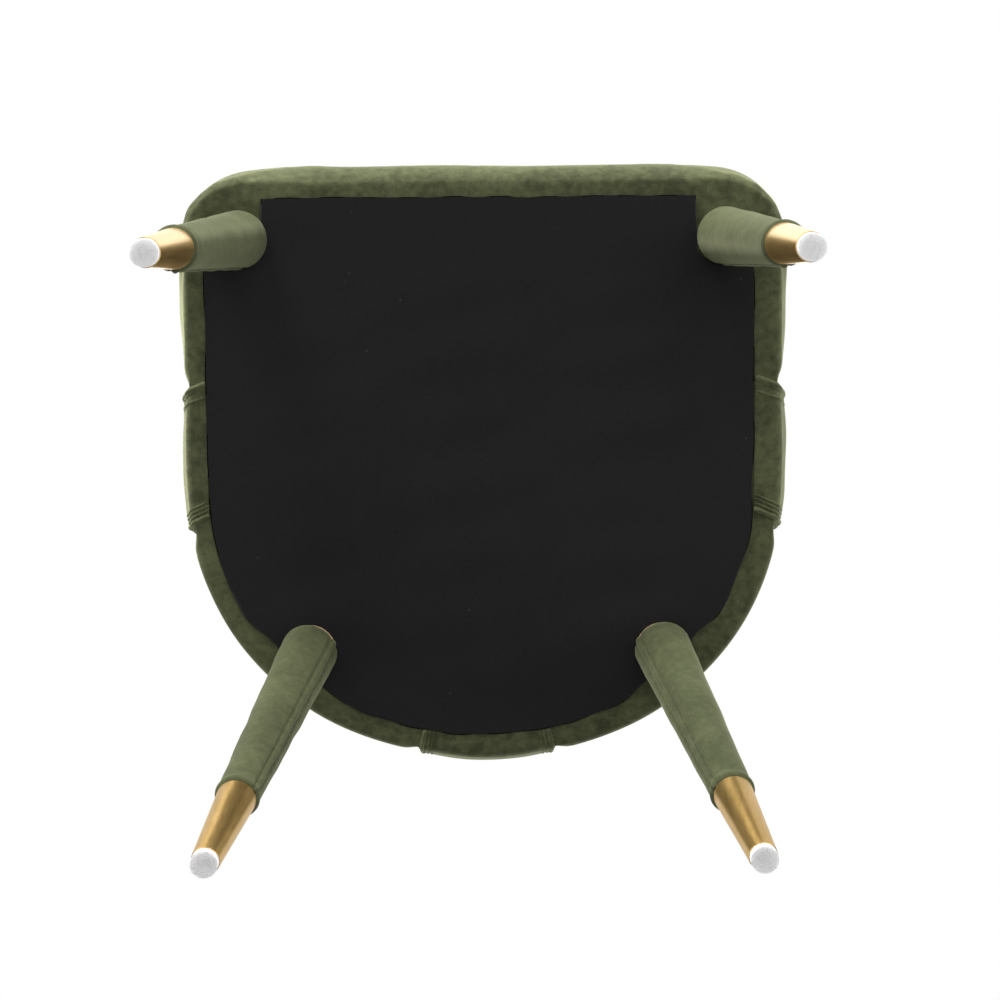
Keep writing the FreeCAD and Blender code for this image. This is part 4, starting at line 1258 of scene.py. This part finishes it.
def make_dust_cover():
    """Thin black cloth stapled under the seat, a little slack towards its middle."""
    path = dust_outline()
    path, _ = resample(np.concatenate([path, path[:1]]), DUST_STEP)
    thickness = 0.0006
    low = UNDERSIDE - 0.0019
    rings = []
    shares = np.concatenate([[1.0, 1.0], np.linspace(0.994, 0.02, 70)])
    for share in shares:
        flat = (path - MIDDLE[:2]) * share + MIDDLE[:2]
        rings.append(np.column_stack([flat, np.full(len(path), low)]))
    top = [np.array(r) + [0, 0, thickness] for r in rings][::-1]
    piece = capped("dust_cover_cloth", rings[::-1] + top[::-1], MATERIALS["dust_cloth"])
    order_faces(piece)
    points = positions(piece)
    points[:, :2] += STAPLED_ASIDE
    from_edge = np.abs(points[:, :2] - MIDDLE[:2]).max(axis=1)
    slack = 1 - smooth(from_edge, 0.12, 0.225)
    points[:, 2] -= slack * 0.0012 + 0.0005 * ripple(points, 0.06, 43) * slack
    move_points(piece, points)
    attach(piece, "root")
    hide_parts("dust_cover")


# ---------------------------------------------------------------- leg sleeves


def leg_axis(leg):
    """The leg's foot and top centres, from the glide's flat bottom and the sleeve's level top."""
    ends = []
    for node, level in (("glide_" + leg, min), ("leg_sleeve_" + leg, max)):
        points = positions(frame["nodes"][node])
        height = level(points[:, 2])
        flat = points[np.abs(points[:, 2] - height) < 0.0002]
        ends.append((flat.min(axis=0) + flat.max(axis=0)) / 2)
    return ends


def make_sleeve(leg):
    """Velvet pulled over the leg and sewn down one side, with its lower end rolled under."""
    foot, top = leg_axis(leg)
    length = np.linalg.norm(top - foot)
    axis = (top - foot) / length
    start = 0.105
    low_radius, high_radius = 0.0158, 0.0241
    thickness = 0.0019
    count = 96
    step = 0.003
    seam_offset = 0.17
    # the seam faces the chair's middle line at the rear, and backwards at the front
    seam_way = np.array([0, 1, 0.0]) if "front" in leg else np.array([-foot[0], -0.08, 0])
    first = seam_way - axis * (seam_way @ axis)
    first /= np.linalg.norm(first)
    second = np.cross(axis, first)
    angle = np.linspace(0, 2 * math.pi, count, endpoint=False)
    from_seam = np.minimum(angle, 2 * math.pi - angle)
    rolled_end = start + 0.0012 * (1 - np.cos(np.linspace(0, math.pi / 2, 4)))
    stations = np.concatenate([rolled_end, np.arange(start + step, length, step)])

    def radius_at(station):
        return low_radius + (high_radius - low_radius) * (station - start) / (length - start)

    outer, inner = [], []
    for station in stations:
        radius = radius_at(station)
        roll = 0.0011 * bump(station, start + 0.0035, 0.006)
        roll -= 0.0012 * (1 - smooth(station, start, start + 0.002))
        neck = -0.0005 * bump(station, start + 0.011, 0.006)
        ridge = 0.0009 * bump(from_seam, 0.0, 0.16)
        groove = -0.0009 * bump(from_seam, 0.2, 0.10)
        around = radius + roll + neck + ridge + groove
        direction = np.outer(np.cos(angle), first) + np.outer(np.sin(angle), second)
        centre = foot + axis * station
        outer.append(centre + direction * around[:, None])
        inner.append(centre + direction * (radius - thickness))
    # the top end is level, against the seat's underside
    for rings in (outer, inner):
        for ring in rings:
            over = np.clip(ring[:, 2] - (UNDERSIDE - 0.0003), 0, None)
            ring -= np.outer(over / axis[2], axis)
    rings = np.array(outer + inner[::-1])
    number = len(rings)
    faces = ring_faces(number, count, looped=True)
    piece = new_object(f"sleeve_{leg}", rings.reshape(-1, 3), faces, MATERIALS["sleeve_velvet"])
    order_faces(piece)
    points = positions(piece)
    direction = normals_of(piece)
    is_outer = np.arange(len(points)) < len(outer) * count
    seed = 51 + LEGS.index(leg)
    along = (points - foot) @ axis
    fade = smooth(along, start, start + 0.02) * (1 - smooth(along, length - 0.02, length - 0.008))
    wave = 0.0003 * ripple(points, 0.05, seed)
    beside_seam = bump(np.tile(from_seam, number), 0.3, 0.26)
    pucker = 0.00016 * np.sin(along / 0.0016 + 2 * ripple(points, 0.03, seed)) * beside_seam
    points += direction * ((wave + pucker) * fade * is_outer)[:, None]
    move_points(piece, points)
    surface = surface_of(piece)
    side = math.cos(seam_offset) * first + math.sin(seam_offset) * second
    sewn_along = np.linspace(start + 0.012, length - 0.004, 160)
    line = [foot + axis * station + side * radius_at(station) for station in sewn_along]
    sewn = stitches(f"sleeve_stitches_{leg}", line, surface)
    fit_trim(sewn)
    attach(piece, "root")
    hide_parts(f"leg_sleeve_{leg}")


dress_frame()
make_camera()
make_world()
make_stage()
make_seat()
make_back()
for side in POSTS:
    make_post(side)
make_dust_cover()
for leg in LEGS:
    make_sleeve(leg)
